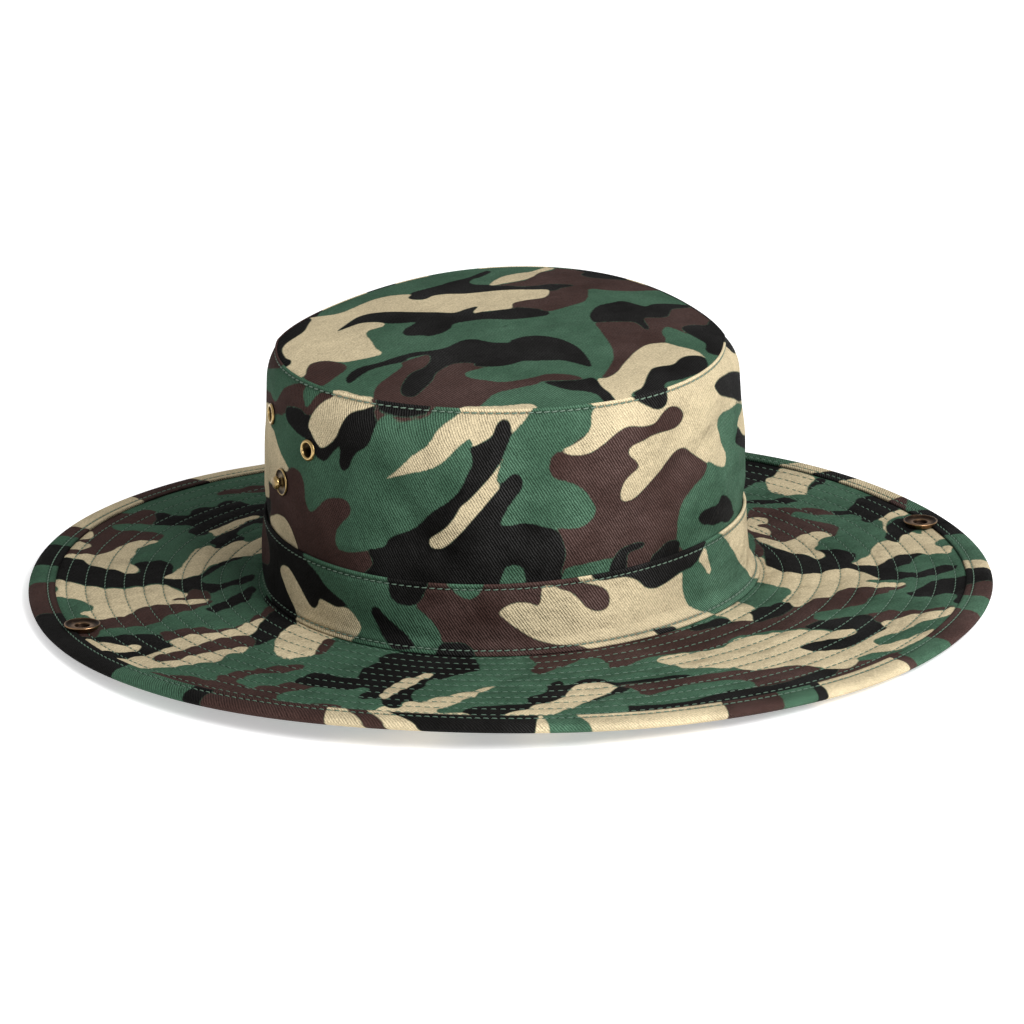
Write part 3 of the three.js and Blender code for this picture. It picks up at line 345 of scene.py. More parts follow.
BRIM_PRINT = """
brown -152,101 -141,112 -136,116 -131,119.5 -127,123 -121.5,127 -120,121.5 -116,121 -112,124 -107.5,122
-105.5,118 -103,116 -100,112 -104,108 -112,104 -118,107 -124,108 -128,107 -128,101.5 -124,99.5 -120,98 -115,95
-112,91.5 -112,88 -113.5,86 -116,84 -122,86 -128,83 -134,77 -140,73 -150,75 -158,77 -154,88
black -106,119 -103,116 -99,112.5 -95.5,111.5 -94,114 -92,118 -87,120 -82,120 -79,123.5 -75,126 -71.5,125
-69.5,121 -66,118 -60,116 -60,100 -69,103 -76,101 -84,95.5 -93.5,89 -94,87 -97,85.5 -99.5,87 -101.5,90 -100,94
-97,97 -100,99.5 -107,101.5 -112,104 -109,110 -108,116
brown -74,140 -70,142 -66,140 -60,143 -50,140 -52,134 -60,133 -68,135 -77,134
tan -140,104 -137.5,102.5 -138,97 -140.5,93.5 -144.5,93 -145,91 -142.5,88 -142.2,84 -144.5,82 -147,81.5
-151.5,83 -150,87 -147,92 -144.5,97 -142.5,101
black -163,74 -156.5,74.5 -152,71 -149,68 -148,63 -145,59 -142,56.5 -139.5,53 -137,50 -133,48.5 -131.5,52
-131.8,56 -132,58.5 -130,60 -126,61 -121,60 -118.5,57.5 -118,53 -119.5,48 -121,44 -124,42 -124,39 -116,38
-110,41 -106,46 -100,51 -93,56 -89,56 -92,53 -96,51.5 -100,48 -103,44.5 -106,41 -109,38.5 -112,35.5 -111,30
-106,28.5 -101,30 -97,33 -91,35 -93,29 -97,26 -102,25 -108,22 -113,18 -121,20 -122,25 -125,30 -128,35 -145,35
-157,43 -165,52 -172,48 -168,62
black -97,69 -95.5,72 -97,75 -95.5,79 -93.5,81.5 -91,84.5 -88,86.5 -84,89 -81,91.5 -78,95 -75,98.5 -72,100
-66,102 -66,94 -72,94 -75.5,92.5 -79,90 -82,86.5 -83.5,83 -82,79 -83,76 -86,74 -89,73 -94,69
tan -156.5,75.5 -152.5,77.5 -148,76 -143,74 -139,74.5 -135.5,77 -132,81 -128,84 -124,85.5 -120,85.7 -116.5,84.5
-115.8,83 -118,81 -122,79.5 -125.5,77 -127.5,73.5 -128,71 -130,68 -131.5,66 -132.5,63 -132.8,60 -131.8,56
-132,52 -133,49.5 -135,49 -137.5,50 -139.5,53 -142,56 -145,58.5 -147.5,62 -149,65 -149.5,69 -151.5,71.5
-154.5,73.5
tan -125,41.5 -124,42.8 -120.5,44.5 -118,47.5 -115.5,50.5 -112.5,56 -110,60 -108,64 -105.5,68 -103,71 -99.5,72.5
-97.5,71.5 -97,69 -94,69.5 -91.5,71 -89,73.5 -86,74.5 -83.5,75 -82.5,73 -79,75 -75.5,77 -68,80 -66,62 -81.5,58.5
-85,57.5 -89,56 -93,56 -96,54.5 -100,51.5 -104,49.5 -107,46 -110,42 -112,40 -115,39 -118,38 -121,38 -123.5,39
tan -93.5,89.5 -91.5,91 -88,93 -84,96 -80,99.5 -75,102 -71,103.5 -68.5,104 -69.5,101.5 -72,100 -75,98.5 -78,95
-81,91.5 -84,89 -88,86.5 -91,84.5 -93,83.5 -92.5,86
brown -128.8,16 -126,17.5 -123,18.5 -121,22 -118,25 -113.5,22 -113.5,17 -115,12 -120,13 -125,14
brown -149.5,4 -147,6.5 -144,9.5 -141,12 -137,13 -132,12.5 -128,11.5 -124,10 -120,9 -117,11 -115,11.5 -114.5,10
-117.5,7 -121,5 -124.5,3 -128,2 -133,0.5 -136.5,-2 -138.5,-5 -142,-8 -147,-9 -152,-8.5 -157,-8 -162,-8 -166,-16
-172,-17 -174,-6 -170,0 -162,5 -157.5,3 -154.5,4.8 -151,4
tan -166.8,50.5 -163,50 -160,46 -157,42 -153,39 -149.5,36 -145,34 -140,33.2 -134,34 -128,34 -126,32.5 -125.2,29
-123.5,25 -121,21.3 -123,18 -126,17 -128.8,16 -128,15 -125,15 -120,14.2 -115.5,13.5 -115.5,12 -117,10 -120,8.5
-124,9.5 -128,11 -132,12 -137,12.5 -141,11.5 -144,9.5 -147,6.5 -149.5,4 -151,3.5 -152.5,4.5 -154.5,4.2
-157.5,2.5 -160,3.5 -162.5,5 -163,8.5 -165,11 -164.5,12.5 -161.5,13.8 -159.5,15 -158.5,17.5 -159,21 -160.5,24.5
-163.5,28.5 -166.5,31 -169.5,33 -170,35 -168,37.5 -166.2,40.5 -166.8,46
black -119.5,2 -117,4.5 -113,7 -109.5,9.5 -107,12 -104,14.5 -101,17.5 -98,20 -96,22.5 -95,18 -98,13 -100.5,8
-104,5 -108,2.5 -112,0 -116,-2 -118.5,-1
black -88,14 -95,8 -96,0 -98,-5 -101,-9.5 -104,-12 -102,-14.5 -103,-18 -106,-22 -108.5,-27 -110,-30 -113,-32
-112,-37 -113.5,-42 -116,-45 -112,-44.5 -108,-41 -104,-38.5 -102,-35 -99.5,-31 -96,-27 -92,-24 -86,-20 -84,-5
brown -105.5,-12 -101,-8.5 -98,-4 -95,-1 -94.5,-6 -98,-10 -101,-13.5
black -162,-17 -155,-17 -148,-19 -143.5,-21 -143.5,-28 -142.5,-30.5 -141.5,-34 -143,-37 -148,-39.5 -153,-43.5
-160,-45 -168,-44 -173,-38 -176,-28 -174,-14 -167,-16
brown -153.5,-50 -152,-46 -148,-43 -143,-42 -139,-40 -134,-37 -129,-34 -125,-32 -120,-31 -113,-31 -112,-36
-113,-42 -116,-46 -120,-46 -125,-47 -130,-48 -134,-49 -140,-50.5 -146,-54 -151,-54
brown -143,-22 -143,-19 -138,-18 -132,-17 -126,-18 -124,-21 -117,-22 -113,-20 -108,-16.5 -105,-12 -101,-10
-101,-14 -104,-16 -107,-18 -110,-19 -113,-22.5 -117,-24.5 -120,-25.5 -124,-26.5 -129,-26 -133,-26 -137,-27.5
-140,-29 -143.5,-28
tan -171,-17.5 -168.5,-17.5 -167.5,-20.5 -165.5,-22.5 -163.5,-25 -161.5,-27.5 -159,-29.5 -155.5,-29.7
-153.8,-31.5 -153.8,-34 -155.5,-36.5 -158.5,-38 -161.8,-37.8 -163.8,-36.2 -165.5,-34 -167.5,-33.2 -169.5,-32.8
-170.2,-30 -171,-25 -171.3,-20
tan -101,-14 -104,-15 -107,-17 -110,-18 -113,-21.5 -117,-23.5 -120,-24.5 -124,-25.5 -129,-25 -133,-24.8
-137,-26.5 -140,-28.5 -142.5,-30.2 -142,-33 -142.5,-36 -145,-37.8 -148,-39 -150,-41 -153,-43 -158,-44 -163,-45
-168.5,-42.5 -168.5,-45 -167,-51 -165.5,-56.5 -163.5,-58.2 -159,-58.5 -155,-59.8 -150,-60.8 -145,-60 -140,-59.2
-135,-59.5 -131,-58.5 -129.5,-56 -127.5,-52.8 -125,-51.5 -121.5,-51.8 -119,-49.5 -117,-45.5 -120,-45.2
-125,-45.8 -130,-46.8 -134,-48 -140,-49.5 -144,-52 -147,-53.5 -150,-53.2 -153,-51.5 -153.5,-48.5 -152,-46
-148,-44 -143,-43 -139,-41 -134,-38 -129,-35 -125,-32.8 -120,-32 -113,-31.8 -110,-30.2 -108,-26.5 -106,-22
-103.5,-18
brown -96.5,-62 -93,-61 -90,-57 -87,-52 -84,-47 -87,-44 -90,-48.5 -92.5,-53 -95,-57.5
tan -109.2,-61 -108,-63 -104,-63.8 -100,-63 -96.5,-61.2 -95,-57.5 -92.5,-53 -90,-48.5 -87,-44.5 -80,-40 -80,-22
-90,-20 -92,-24 -96,-27 -99.5,-31 -102,-35 -104,-38.5 -106,-43 -108,-49 -109.5,-54
brown -161,-66 -157,-65 -153,-69 -149,-72 -145,-75 -143,-80 -139,-80 -137,-76 -133,-75 -130,-73 -126,-72.2
-123,-74 -121,-71.5 -117,-72 -114,-70.5 -109,-71 -105,-72 -104.5,-74.5 -107,-77.5 -113,-79.5 -118,-79.5 -123,-78
-127,-79.5 -130,-82 -133,-85 -132,-89 -130,-94 -126,-93 -121,-94 -116,-92 -112,-92 -108,-100 -112,-102 -116,-103
-122,-104 -125,-108 -126,-112 -131,-112 -134,-108 -137,-105 -141,-104 -146,-97 -152,-86 -157,-76
brown -136,-117 -130,-113.5 -126,-113.5 -120,-118 -114,-121 -109.5,-124 -107,-128 -112,-133 -122,-128
black -74,-70 -77,-76 -81,-80 -85,-83 -88,-88 -91,-93.5 -95,-92.5 -97.5,-90.5 -98,-87 -100,-84.5 -104,-83.5
-107.5,-85.5 -110,-88 -113.5,-91.5 -112,-96 -110,-99 -106,-103 -102,-106 -97,-107.5 -93,-107 -91.5,-110 -94,-113
-97,-116 -98.5,-119 -97,-121.5 -94,-121 -92,-124 -93,-129 -93,-133 -90.5,-136 -88,-134 -86,-130 -81.5,-129
-81,-125 -79,-120 -76,-116 -72,-113 -70,-108 -66,-105 -60,-104 -56,-102 -52,-100 -47,-99 -45,-94 -44,-90 -44,-78
-60,-66
tan -91.2,-125.7 -90.5,-123.5 -91,-119 -89,-116.5 -87,-113 -84,-109.5 -81,-106 -78,-103 -74,-100 -70,-99
-66,-95.5 -64,-95.5 -64,-99 -66,-101.5 -69,-103 -72,-106 -74,-109 -78,-112 -81,-114.5 -84,-117.5 -87,-120.5
-89.5,-123.5
tan -102.5,-137 -99,-136 -96,-134 -93.5,-132 -92.5,-135 -90,-136.5 -87.5,-134 -86,-131 -82,-130 -80,-133
-78,-130.5 -73,-128 -68,-126.5 -62,-124.5 -56,-122.5 -51,-120 -48,-118.7 -48.5,-120.5 -52,-123.5 -56,-125.5
-59,-129.5 -63,-132 -67,-135 -70,-138 -74,-140 -77.5,-142.5 -78.2,-145.5 -74,-147 -69,-149 -69,-153 -80,-153
-92,-149 -103,-143
tan 54,-62 59,-70 60,-73 61,-76.5 65,-78 68,-78.5 69.5,-76 70,-72 70.5,-69 74,-66 73.5,-63 70,-56 58,-54
black 70,-73 70.5,-69 74,-67 76,-65.5 80,-66 83,-64 86,-63 88.5,-65 88,-69 87,-71 84,-74 80,-77 75,-79 70,-81
68,-79
black 42,-81 43,-77 46,-74.5 50,-75 54,-72.5 58,-71.8 60,-75 60,-78 55,-79 49,-81 44,-82
brown 94,-14 100,-4 103,2 105,8 107,14 106,22 109,28 112,34 116,40 119,44 122,44 126,41.5 132,40 136,38 140,37
144,34 148,30.5 151,27 150,24 146,26 142,27 139,29.5 134,34 130,30 133,27 136,22 139,18 142,15 143,12 141,8
139,5 136,2 130,6 124,2 116,0 109,2 108,-4 104,-8 98,-12
black 106.5,11 107,6 108,0 109.5,-5 112,-9 115,-13 117,-16 118.5,-20 120.5,-21.2 123,-20 124,-15 123,-12 125,-12
129,-12 132,-14 134.5,-17 135.5,-20 134.5,-23 132,-27 129.5,-30 130,-32 133,-34.5 137,-36 141,-34.5 145,-31
149,-28 154,-27 160,-28.5 159,-31 156,-32 153,-35 150,-39 146,-40 143,-41 142,-45 145,-48 150,-49 155,-47
160,-45 165,-46 166.5,-47.5 163,-51 158,-53.5 152,-54.5 148,-55.5 144,-54 139,-54.5 135,-54 131,-52.5 129,-48
128,-42 125,-36.5 121,-35.5 117,-36 113,-37.3 108,-36.5 104,-33.5 100,-29.5 97.5,-23 98,-20 100,-15 101.5,-10
104,-4 105,2
tan 80,-36 88,-38.5 89,-41 91,-44 93.5,-47 94.8,-51 93.5,-55 91,-57.5 88.5,-60 87,-62 87.5,-63 88.5,-65 88,-68
88.5,-69.8 90,-70 93,-68 96,-66 99,-64 102,-64 105,-64.2 108,-62 110,-59.5 113,-58 118,-57.2 122,-58 126,-60
130,-61.5 134,-62.2 137.5,-61.5 138.5,-59.5 137,-58 133,-56.5 128,-54.5 125.5,-53 126,-51.5 130,-51.5
132.5,-50.5 131.5,-49 130,-45 129,-41 127.5,-38 125,-35.5 121,-34.8 117,-35.5 113,-36.8 108,-36 104,-33 100,-29
98,-23 98,-20 100,-13 98,-8 94,-2 86,-10
tan 107,11 109,10 111,7 114,4 116.5,2.2 119.5,4 123,6.5 127,8.5 131,9.5 134.5,8.5 136.5,6 136.5,3.5 134,2
130,0.5 127.5,-2.5 126,-6 123,-9 122.8,-11 124,-14.5 123.8,-18 122,-20.5 120,-21.2 118.8,-20 117.5,-16
114.5,-12.5 111.5,-8.5 109.5,-4.5 108.5,1 107,5.5 106.5,9
tan 129.5,-30.5 130,-32 133,-34.5 137,-36.2 141,-34.5 145,-31 149,-28.5 154,-27.8 159,-29 163,-31 168,-32
171,-31.5 172.5,-29 174.8,-26 173.5,-24.5 170,-23.5 169,-22 170,-19 173,-16.5 178,-15 178,-4 174,-3.5 171.5,-4
170,-7.5 168,-7 167.5,-4.5 166,-4.5 163,-6 160,-8.5 157.5,-12.5 156,-13 154.5,-10.5 150,-10.5 148,-13 145,-16
142.5,-19.5 140.5,-23 138,-25.5 135,-27 132,-29
black 154,-7 156,-4 158,0 160,5 163,8 166,11 169,12.5 174,12 178,8 178,-2 172,-2 166,-4.5 163,-6 160,-8.5
157.5,-12.8 155.5,-12.5 154,-10
black 134,-70 137,-69.5 140,-67 144,-65 148,-61.5 152,-60 160,-60 168,-59 168,-68 162,-76 156,-82 149,-89
146,-86 150,-81 151,-77 147,-76 141,-77 137,-76 134.5,-73
black 148,30 152,28 155,30 159,34 164,40 171,41 176,36 176,28 173.5,22 170,21 166,18 162,15 160,14 156,12.5
154,15 156,19 154,23 148,25
tan 161,13.5 162,15 166,18 170,21 173.5,22 175.3,20.5 175.7,18 174,15.5 171,15.5 168,14 165,12.5 163,10 161,6.5
159,2 158.3,-1 158,2 160.3,8 161.8,11.5
tan 111,30 114,34 117,33.5 119.8,30.5 119,27 117,24.8 114,25 113,23.5 115,20 115.3,16 114,12.8 111.8,13
109.5,16.5 108,20 108,26
black 139,98 146,92 150,86 148,83.5 146,81 144,78 139,75 137,72 132,71.5 124,66 120,74 128,90
black 146,52.5 148,54.5 151,60 155,64 158,68 161,66 158,61 154,60 150,56
black 116,53 120,54 124,53 128,51 133,51 137,51 139,48 140,45 137,44.5 133,45 129,46 124,48 119,50
tan 139,75 141,75.5 144,78 146,81 148,83.5 150,83 153,79 155,75 157,71 157.5,69 155,65 152,62 150,59 148,55
146,52 142,53 139,53.5 135.5,57 134,60 135,65 136.5,70 137.5,73
"""
# The binding, from the right and round by the back: ink, and where it starts, in degrees on its
# inner and on its outer edge
BINDING_PRINT = (
    ("black", -4.7, -4.7), ("green", 5.6, 4.8), ("brown", 6.4, 10.4), ("tan", 10.2, 10.8),
    ("black", 20, 19), ("tan", 24.5, 23), ("green", 30, 28), ("brown", 47, 46), ("tan", 57, 59),
    ("black", 67, 66), ("green", 79, 78), ("brown", 92, 93), ("tan", 102, 101), ("brown", 116.5, 118),
    ("tan", 129.2, 128.3), ("brown", 143.5, 143), ("green", 147.4, 147), ("black", 151, 150.5),
    ("green", 158.8, 158.3), ("brown", 164.6, 164.9), ("black", 176, 175.5), ("green", 198.6, 199.4),
    ("black", 210.6, 211.4), ("brown", 213.6, 214), ("tan", 228.8, 229.7), ("brown", 231, 234),
    ("tan", 233.4, 236.4), ("black", 236, 240), ("tan", 253.7, 253.2), ("green", 254.1, 254.7),
    ("tan", 258.1, 259.4), ("brown", 276.8, 276), ("green", 284.9, 283.7), ("black", 290.3, 288.7),
    ("tan", 291.6, 290.3), ("brown", 305.6, 305), ("green", 307.5, 306.5), ("brown", 314.8, 314.8),
    ("green", 326.6, 325.4), ("brown", 331.5, 331.5), ("black", 335.6, 338), ("tan", 342, 342.4),
    ("green", 345.2, 345.2),
)

INKS = ("tan", "brown", "black")
REACH = 4.0
CURVE_STEPS = 4
CHUNK = 3000
PRINT_RADIUS = 88.0
PRINT_START = math.radians(250)
# The charts of the side and band begin this far before PRINT_START
PRINT_BEFORE = 0.64 * math.pi
# The hidden back of the side and band takes the same chart again, this far round
HALF_ROUND = 276
CLEAR_FRONT = """green -177,-10 -100,-12 0,-12 100,-12 151,-10 156,10 150,30 157,45 151,62 158,78 152,95 156,112
100,114 0,114 -100,114 -176,112 -172,95 -178,78 -172,62 -179,45 -173,30 -178,10"""
# The hidden back of the brim takes the shapes of FRONT_PRINT again, moved
FRONT_AGAIN = (5, 243)
BINDING_MM_PER_DEGREE = 3.0
BINDING_START = -10
# Places across the binding, past both of its edges, and the place where its colours stop slanting
BINDING_ACROSS = (-4, 3, 10, 17, 24, 30)
BINDING_EDGE, BINDING_SLANT_END = 10, 14


def charted(chart):
    """A chart's shapes, as inks and outlines."""
    shapes = []
    for word in chart.split():
        if "," in word:
            shapes[-1][1].append([float(number) for number in word.split(",")])
        else:
            shapes.append((word, []))
    return shapes


def closed_curve(points):
    """A smooth closed curve through the points."""
    around = [np.roll(points, step, 0) for step in (1, 0, -1, -2)]
    curve = [smooth(*around, share) for share in np.arange(CURVE_STEPS) / CURVE_STEPS]
    return np.stack(curve, 1).reshape(-1, 2)


def inside_by(places, outline):
    """How far each place is inside the closed outline, below zero outside it."""
    start, end = outline, np.roll(outline, -1, 0)
    along = end - start
    length = np.maximum((along ** 2).sum(1), 1e-9)
    away = places[:, None] - start[None]
    share = np.clip((away * along).sum(-1) / length, 0, 1)
    distance = np.sqrt(((away - share[..., None] * along) ** 2).sum(-1).min(1))
    up = places[:, 1:2]
    crossing = (start[:, 1] > up) != (end[:, 1] > up)
    rise = np.where(along[:, 1] == 0, 1e-9, along[:, 1])
    left = places[:, :1] < start[:, 0] + along[:, 0] * (up - start[:, 1]) / rise
    return np.where((crossing & left).sum(1) % 2 == 1, distance, -distance)


def start_inks(places):
    return {ink: np.full(len(places), -REACH) for ink in INKS}


def print_shape(inks, places, colour, outline):
    """Lays one shape of the print over the earlier ones."""
    near = ((places > outline.min(0) - REACH) & (places < outline.max(0) + REACH)).all(1)
    inside = np.full(len(places), -REACH)
    for chunk in np.array_split(np.flatnonzero(near), max(1, int(near.sum()) // CHUNK)):
        inside[chunk] = inside_by(places[chunk], outline)
    inside = np.clip(inside, -REACH, REACH)
    for ink, field in inks.items():
        if ink == colour:
            np.maximum(field, inside, out=field)
        else:
            np.minimum(field, -inside, out=field)


def print_chart(inks, places, chart, move=(0, 0)):
    for colour, points in charted(chart):
        print_shape(inks, places, colour, closed_curve(np.array(points)) + np.array(move))


def side_inks(turn, up, chart):
    """The print of the side or band: the chart in front, and again half way round behind."""
    along = ((turn - PRINT_START + PRINT_BEFORE) % FULL_TURN - PRINT_BEFORE) * PRINT_RADIUS
    places = np.stack(np.broadcast_arrays(along, up), -1).reshape(-1, 2)
    inks = start_inks(places)
    for move in (HALF_ROUND, HALF_ROUND - FULL_TURN * PRINT_RADIUS):
        print_chart(inks, places, chart, (move, 0))
    print_chart(inks, places, CLEAR_FRONT)
    print_chart(inks, places, chart)
    return inks


def plan_inks(points, charts):
    places = points.reshape(-1, 3)[:, :2] - np.array([CROWN_X, 0])
    inks = start_inks(places)
    for chart, move in charts:
        print_chart(inks, places, chart, move)
    return inks


def binding_inks(points, across):
    """The print of the binding, a strip of its own; across is how far round its section."""
    degrees = np.degrees(np.arctan2(points[..., 1], points[..., 0] - CROWN_X))
    degrees = (degrees - BINDING_START) % 360 + BINDING_START
    places = np.stack(np.broadcast_arrays(degrees * BINDING_MM_PER_DEGREE, across), -1).reshape(-1, 2)
    inks = start_inks(places)
    first = BINDING_PRINT[0]
    ends = BINDING_PRINT[1:] + ((None, first[1] + 360, first[2] + 360),)
    slants = [(up, min(up, BINDING_SLANT_END) / BINDING_EDGE) for up in BINDING_ACROSS]
    for (colour, inner, outer), (_, inner_end, outer_end) in zip(BINDING_PRINT, ends):
        edge = [(inner + (outer - inner) * slant, up) for up, slant in slants]
        edge += [(inner_end + (outer_end - inner_end) * slant, up) for up, slant in reversed(slants)]
        for move in (0, 360):
            corners = np.array([((degree - move) * BINDING_MM_PER_DEGREE, up) for degree, up in edge])
            print_shape(inks, places, colour, corners)
    return inks


# Materials

def paint(red, green, blue):
    """A colour as seen on screen, from 0 to 255, as the linear one that the shader takes."""
    linear = [((value / 255 + 0.055) / 1.055) ** 2.4 for value in (red, green, blue)]
    return (*linear, 1.0)


class Field:
    """A number that varies over a surface, from a node's output, and takes plain arithmetic."""

    def __init__(self, nodes, socket):
        self.nodes, self.socket = nodes, socket

    def __add__(self, other):
        return self.nodes.math("ADD", self, other)

    def __sub__(self, other):
        return self.nodes.math("SUBTRACT", self, other)

    def __rsub__(self, other):
        return self.nodes.math("SUBTRACT", other, self)

    def __mul__(self, other):
        return self.nodes.math("MULTIPLY", self, other)

    __radd__, __rmul__ = __add__, __mul__


class Nodes:
    """A material's nodes, joined by short calls."""

    def __init__(self, name):
        self.material = bpy.data.materials.new(name)
        self.material.use_nodes = True
        self.tree = self.material.node_tree

    def set(self, socket, value):
        if isinstance(value, Field):
            self.tree.links.new(value.socket, socket)
        else:
            socket.default_value = value

    def add(self, kind, inputs, output=0, **settings):
        node = self.tree.nodes.new(kind)
        for key, value in settings.items():
            setattr(node, key, value)
        for key, value in inputs.items():
            self.set(node.inputs[key], value)
        return Field(self, node.outputs[output])

    def math(self, operation, first, second=0.0, clamp=False):
        return self.add("ShaderNodeMath", {0: first, 1: second}, operation=operation, use_clamp=clamp)

    def stored(self, name):
        return self.add("ShaderNodeAttribute", {}, "Fac", attribute_name=name)

    def noise(self, scale, detail, roughness=0.5):
        place = self.add("ShaderNodeTexCoord", {}, "Object")
        return self.add("ShaderNodeTexNoise", {
            "Vector": place, "Scale": scale, "Detail": detail, "Roughness": roughness}, "Fac")

    def wave(self, place, period):
        return self.math("SINE", place * (FULL_TURN / period)) * 0.5 + 0.5

    def mix(self, share, first, second):
        return self.add("ShaderNodeMix", {0: share, 6: first, 7: second}, 2, data_type="RGBA")

    def brighten(self, colour, factor):
        """The colour times a factor."""
        return self.add("ShaderNodeVectorMath", {0: colour, "Scale": factor}, operation="SCALE")

    def plus(self, colour, amount):
        """The colour with the same amount of light added to each part."""
        return self.add("ShaderNodeVectorMath", {0: colour, 1: amount}, operation="ADD")

    def bump(self, height, distance, strength, **normal):
        return self.add("ShaderNodeBump", {
            "Distance": distance, "Strength": strength, "Height": height, **normal})

    def shade(self, values):
        """Sets the shader's own sockets and gives the material."""
        for name, value in values.items():
            self.set(self.tree.nodes["Principled BSDF"].inputs[name], value)
        return self.material


GREEN = paint(55, 83, 65)
PAINTS = {"tan": paint(192, 177, 145), "brown": paint(57, 40, 36), "black": paint(12, 11, 10)}
REVERSE = paint(100, 102, 86)
TWILL_PERIOD = 0.92
# How far the edges of the inks fray, and how sharp they are
EDGE_FRAY, EDGE_SHARPNESS = 0.9, 1.6
REVERSE_SHARE = 0.45
# How much the ribs, patches, grain, wear and painted groove shade, and the painted sheen of the raised yarns
# change the tone of the colour
BASE_TONE, BASE_FOR_RELIEF = 0.98, 0.24
RIB_TONE, RIB_LESS_ON_TAN, PATCH_TONE, GRAIN_TONE, WEAR_AND_SHADE_TONE = 0.52, 0.13, 0.9, 1.2, 0.3
PAINTED_SHEEN_TONE, PAINTED_SHEEN_LIGHT = 9, 0.4
RIB_HEIGHT, YARN_HEIGHT, GRAIN_HEIGHT = 0.75, 0.25, 0.5


def cloth_material(name, period=TWILL_PERIOD, painted_sheen_amount=0.19, relief=0.9, reverse=False):
    """Printed cotton twill. The print and the ribs' place across the cloth are stored in the mesh."""
    nodes = Nodes(name)
    ragged = (nodes.noise(900, 2) - 0.5) * EDGE_FRAY
    colour, shares = GREEN, {}
    for ink, tone in PAINTS.items():
        shares[ink] = nodes.math("ADD", (nodes.stored(ink) + ragged) * EDGE_SHARPNESS, 0.5, clamp=True)
        colour = nodes.mix(shares[ink], colour, tone)
    if reverse:
        colour = nodes.mix(REVERSE_SHARE, colour, REVERSE)
    rib = nodes.wave(nodes.stored("rib") + nodes.noise(700, 2) * 0.55, period)
    yarn = nodes.wave(nodes.stored("yarn"), period * 0.8)
    patches = nodes.noise(38, 4, 0.6) - 0.5
    grain = nodes.noise(1500, 2, 0.7)
    # Painted sheen: the ribs' raised yarns are painted lighter on the darker inks, where they would catch the
    # light
    painted_sheen_strength = nodes.math("ADD", patches * 3, 0.5, clamp=True) * painted_sheen_amount * (1 - shares["tan"]) * nodes.stored("painted_sheen_side")
    painted_sheen = rib * rib * grain * painted_sheen_strength
    contrast = RIB_TONE * relief - shares["tan"] * (RIB_LESS_ON_TAN * relief)
    tone = (rib * contrast + (BASE_TONE - BASE_FOR_RELIEF * relief) + patches * (PATCH_TONE * relief)
            + (grain - 0.5) * GRAIN_TONE + nodes.stored("wear_and_groove_shade") * WEAR_AND_SHADE_TONE + painted_sheen * PAINTED_SHEEN_TONE)
    weave = rib * RIB_HEIGHT + yarn * YARN_HEIGHT + grain * GRAIN_HEIGHT
    uneven = nodes.bump(nodes.noise(55, 4), 0.009 * relief, 0.7)
    return nodes.shade({
        "Base Color": nodes.plus(nodes.brighten(colour, tone), painted_sheen * PAINTED_SHEEN_LIGHT),
        "Normal": nodes.bump(weave, 0.00025, 1.0, Normal=uneven),
        "Roughness": grain * 0.15 + 0.82, "Specular IOR Level": 0.08})


def thread_material(name, colour):
    nodes = Nodes(name)
    grain = nodes.noise(2500, 2)
    return nodes.shade({
        "Base Color": nodes.brighten(colour[:3], grain * 0.4 + 0.8), "Roughness": grain * 0.2 + 0.5,
        "Specular IOR Level": 0.3, "Normal": nodes.bump(grain, 0.00008, 0.6)})


def brass_material(name, crest):
    """Antique brass: bright on the crests, brown in the hollows."""
    nodes = Nodes(name)
    dull = nodes.math("ADD", nodes.stored("dull"), (nodes.noise(500, 4, 0.6) - 0.5) * 0.5, clamp=True)
    return nodes.shade({
        "Base Color": nodes.mix(dull, crest, paint(40, 30, 24)), "Metallic": 1.0,
        "Roughness": dull * 0.28 + 0.24, "Normal": nodes.bump(nodes.noise(4000, 2), 0.00003, 0.4)})


# Each cloth has its own amount of painted sheen on the darker inks
side_cloth = cloth_material("side_cloth")
brim_cloth = cloth_material("brim_cloth", period=0.95, painted_sheen_amount=0.1, relief=0.8)
binding_cloth = cloth_material("binding_cloth", period=0.85, painted_sheen_amount=0.12)
tip_cloth = cloth_material("tip_cloth", painted_sheen_amount=0.12, relief=0.45)
inside_cloth = cloth_material("inside_cloth", reverse=True)
# One thread in two copies: painted lighter for the upright seam and band rows, painted darker for the flat brim
# and binding rows, as light falls on them
seam_thread_painted_lighter = thread_material("seam_thread_painted_lighter", paint(98, 118, 103))
brim_thread_painted_darker = thread_material("brim_thread_painted_darker", paint(86, 110, 94))
brass = brass_material("antique_brass", paint(188, 160, 108))
coppery_brass = brass_material("coppery_brass", paint(168, 132, 98))

# Meshes


def turns(count):
    return np.arange(count)[:, None] * FULL_TURN / count


def grid_faces(rows, columns, closed_columns=True):
    """Faces over a grid that is closed round the hat."""
    index = np.arange(rows * columns).reshape(rows, columns)
    index = np.vstack([index, index[:1]])
    if closed_columns:
        index = np.hstack([index, index[:, :1]])
    return np.stack([index[:-1, :-1], index[1:, :-1], index[1:, 1:], index[:-1, 1:]], -1).reshape(-1, 4)


def add_piece(name, points, faces, values, materials, node=None):
    """A piece of the hat; values are stored at its points for the materials."""
    mesh = bpy.data.meshes.new(name)
    mesh.from_pydata((points.reshape(-1, 3) * MM).tolist(), [], faces.tolist())
    mesh.update()
    mesh.polygons.foreach_set("use_smooth", [True] * len(mesh.polygons))
    for key, value in values.items():
        attribute = mesh.attributes.new(key, "FLOAT", "POINT")
        attribute.data.foreach_set("value", np.asarray(value, dtype=np.float32).ravel())
    piece = bpy.data.objects.new(name, mesh)
    bpy.context.scene.collection.objects.link(piece)
    for material in materials:
        mesh.materials.append(material)
    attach(piece, "root")
    if node:
        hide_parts(node)
    return piece


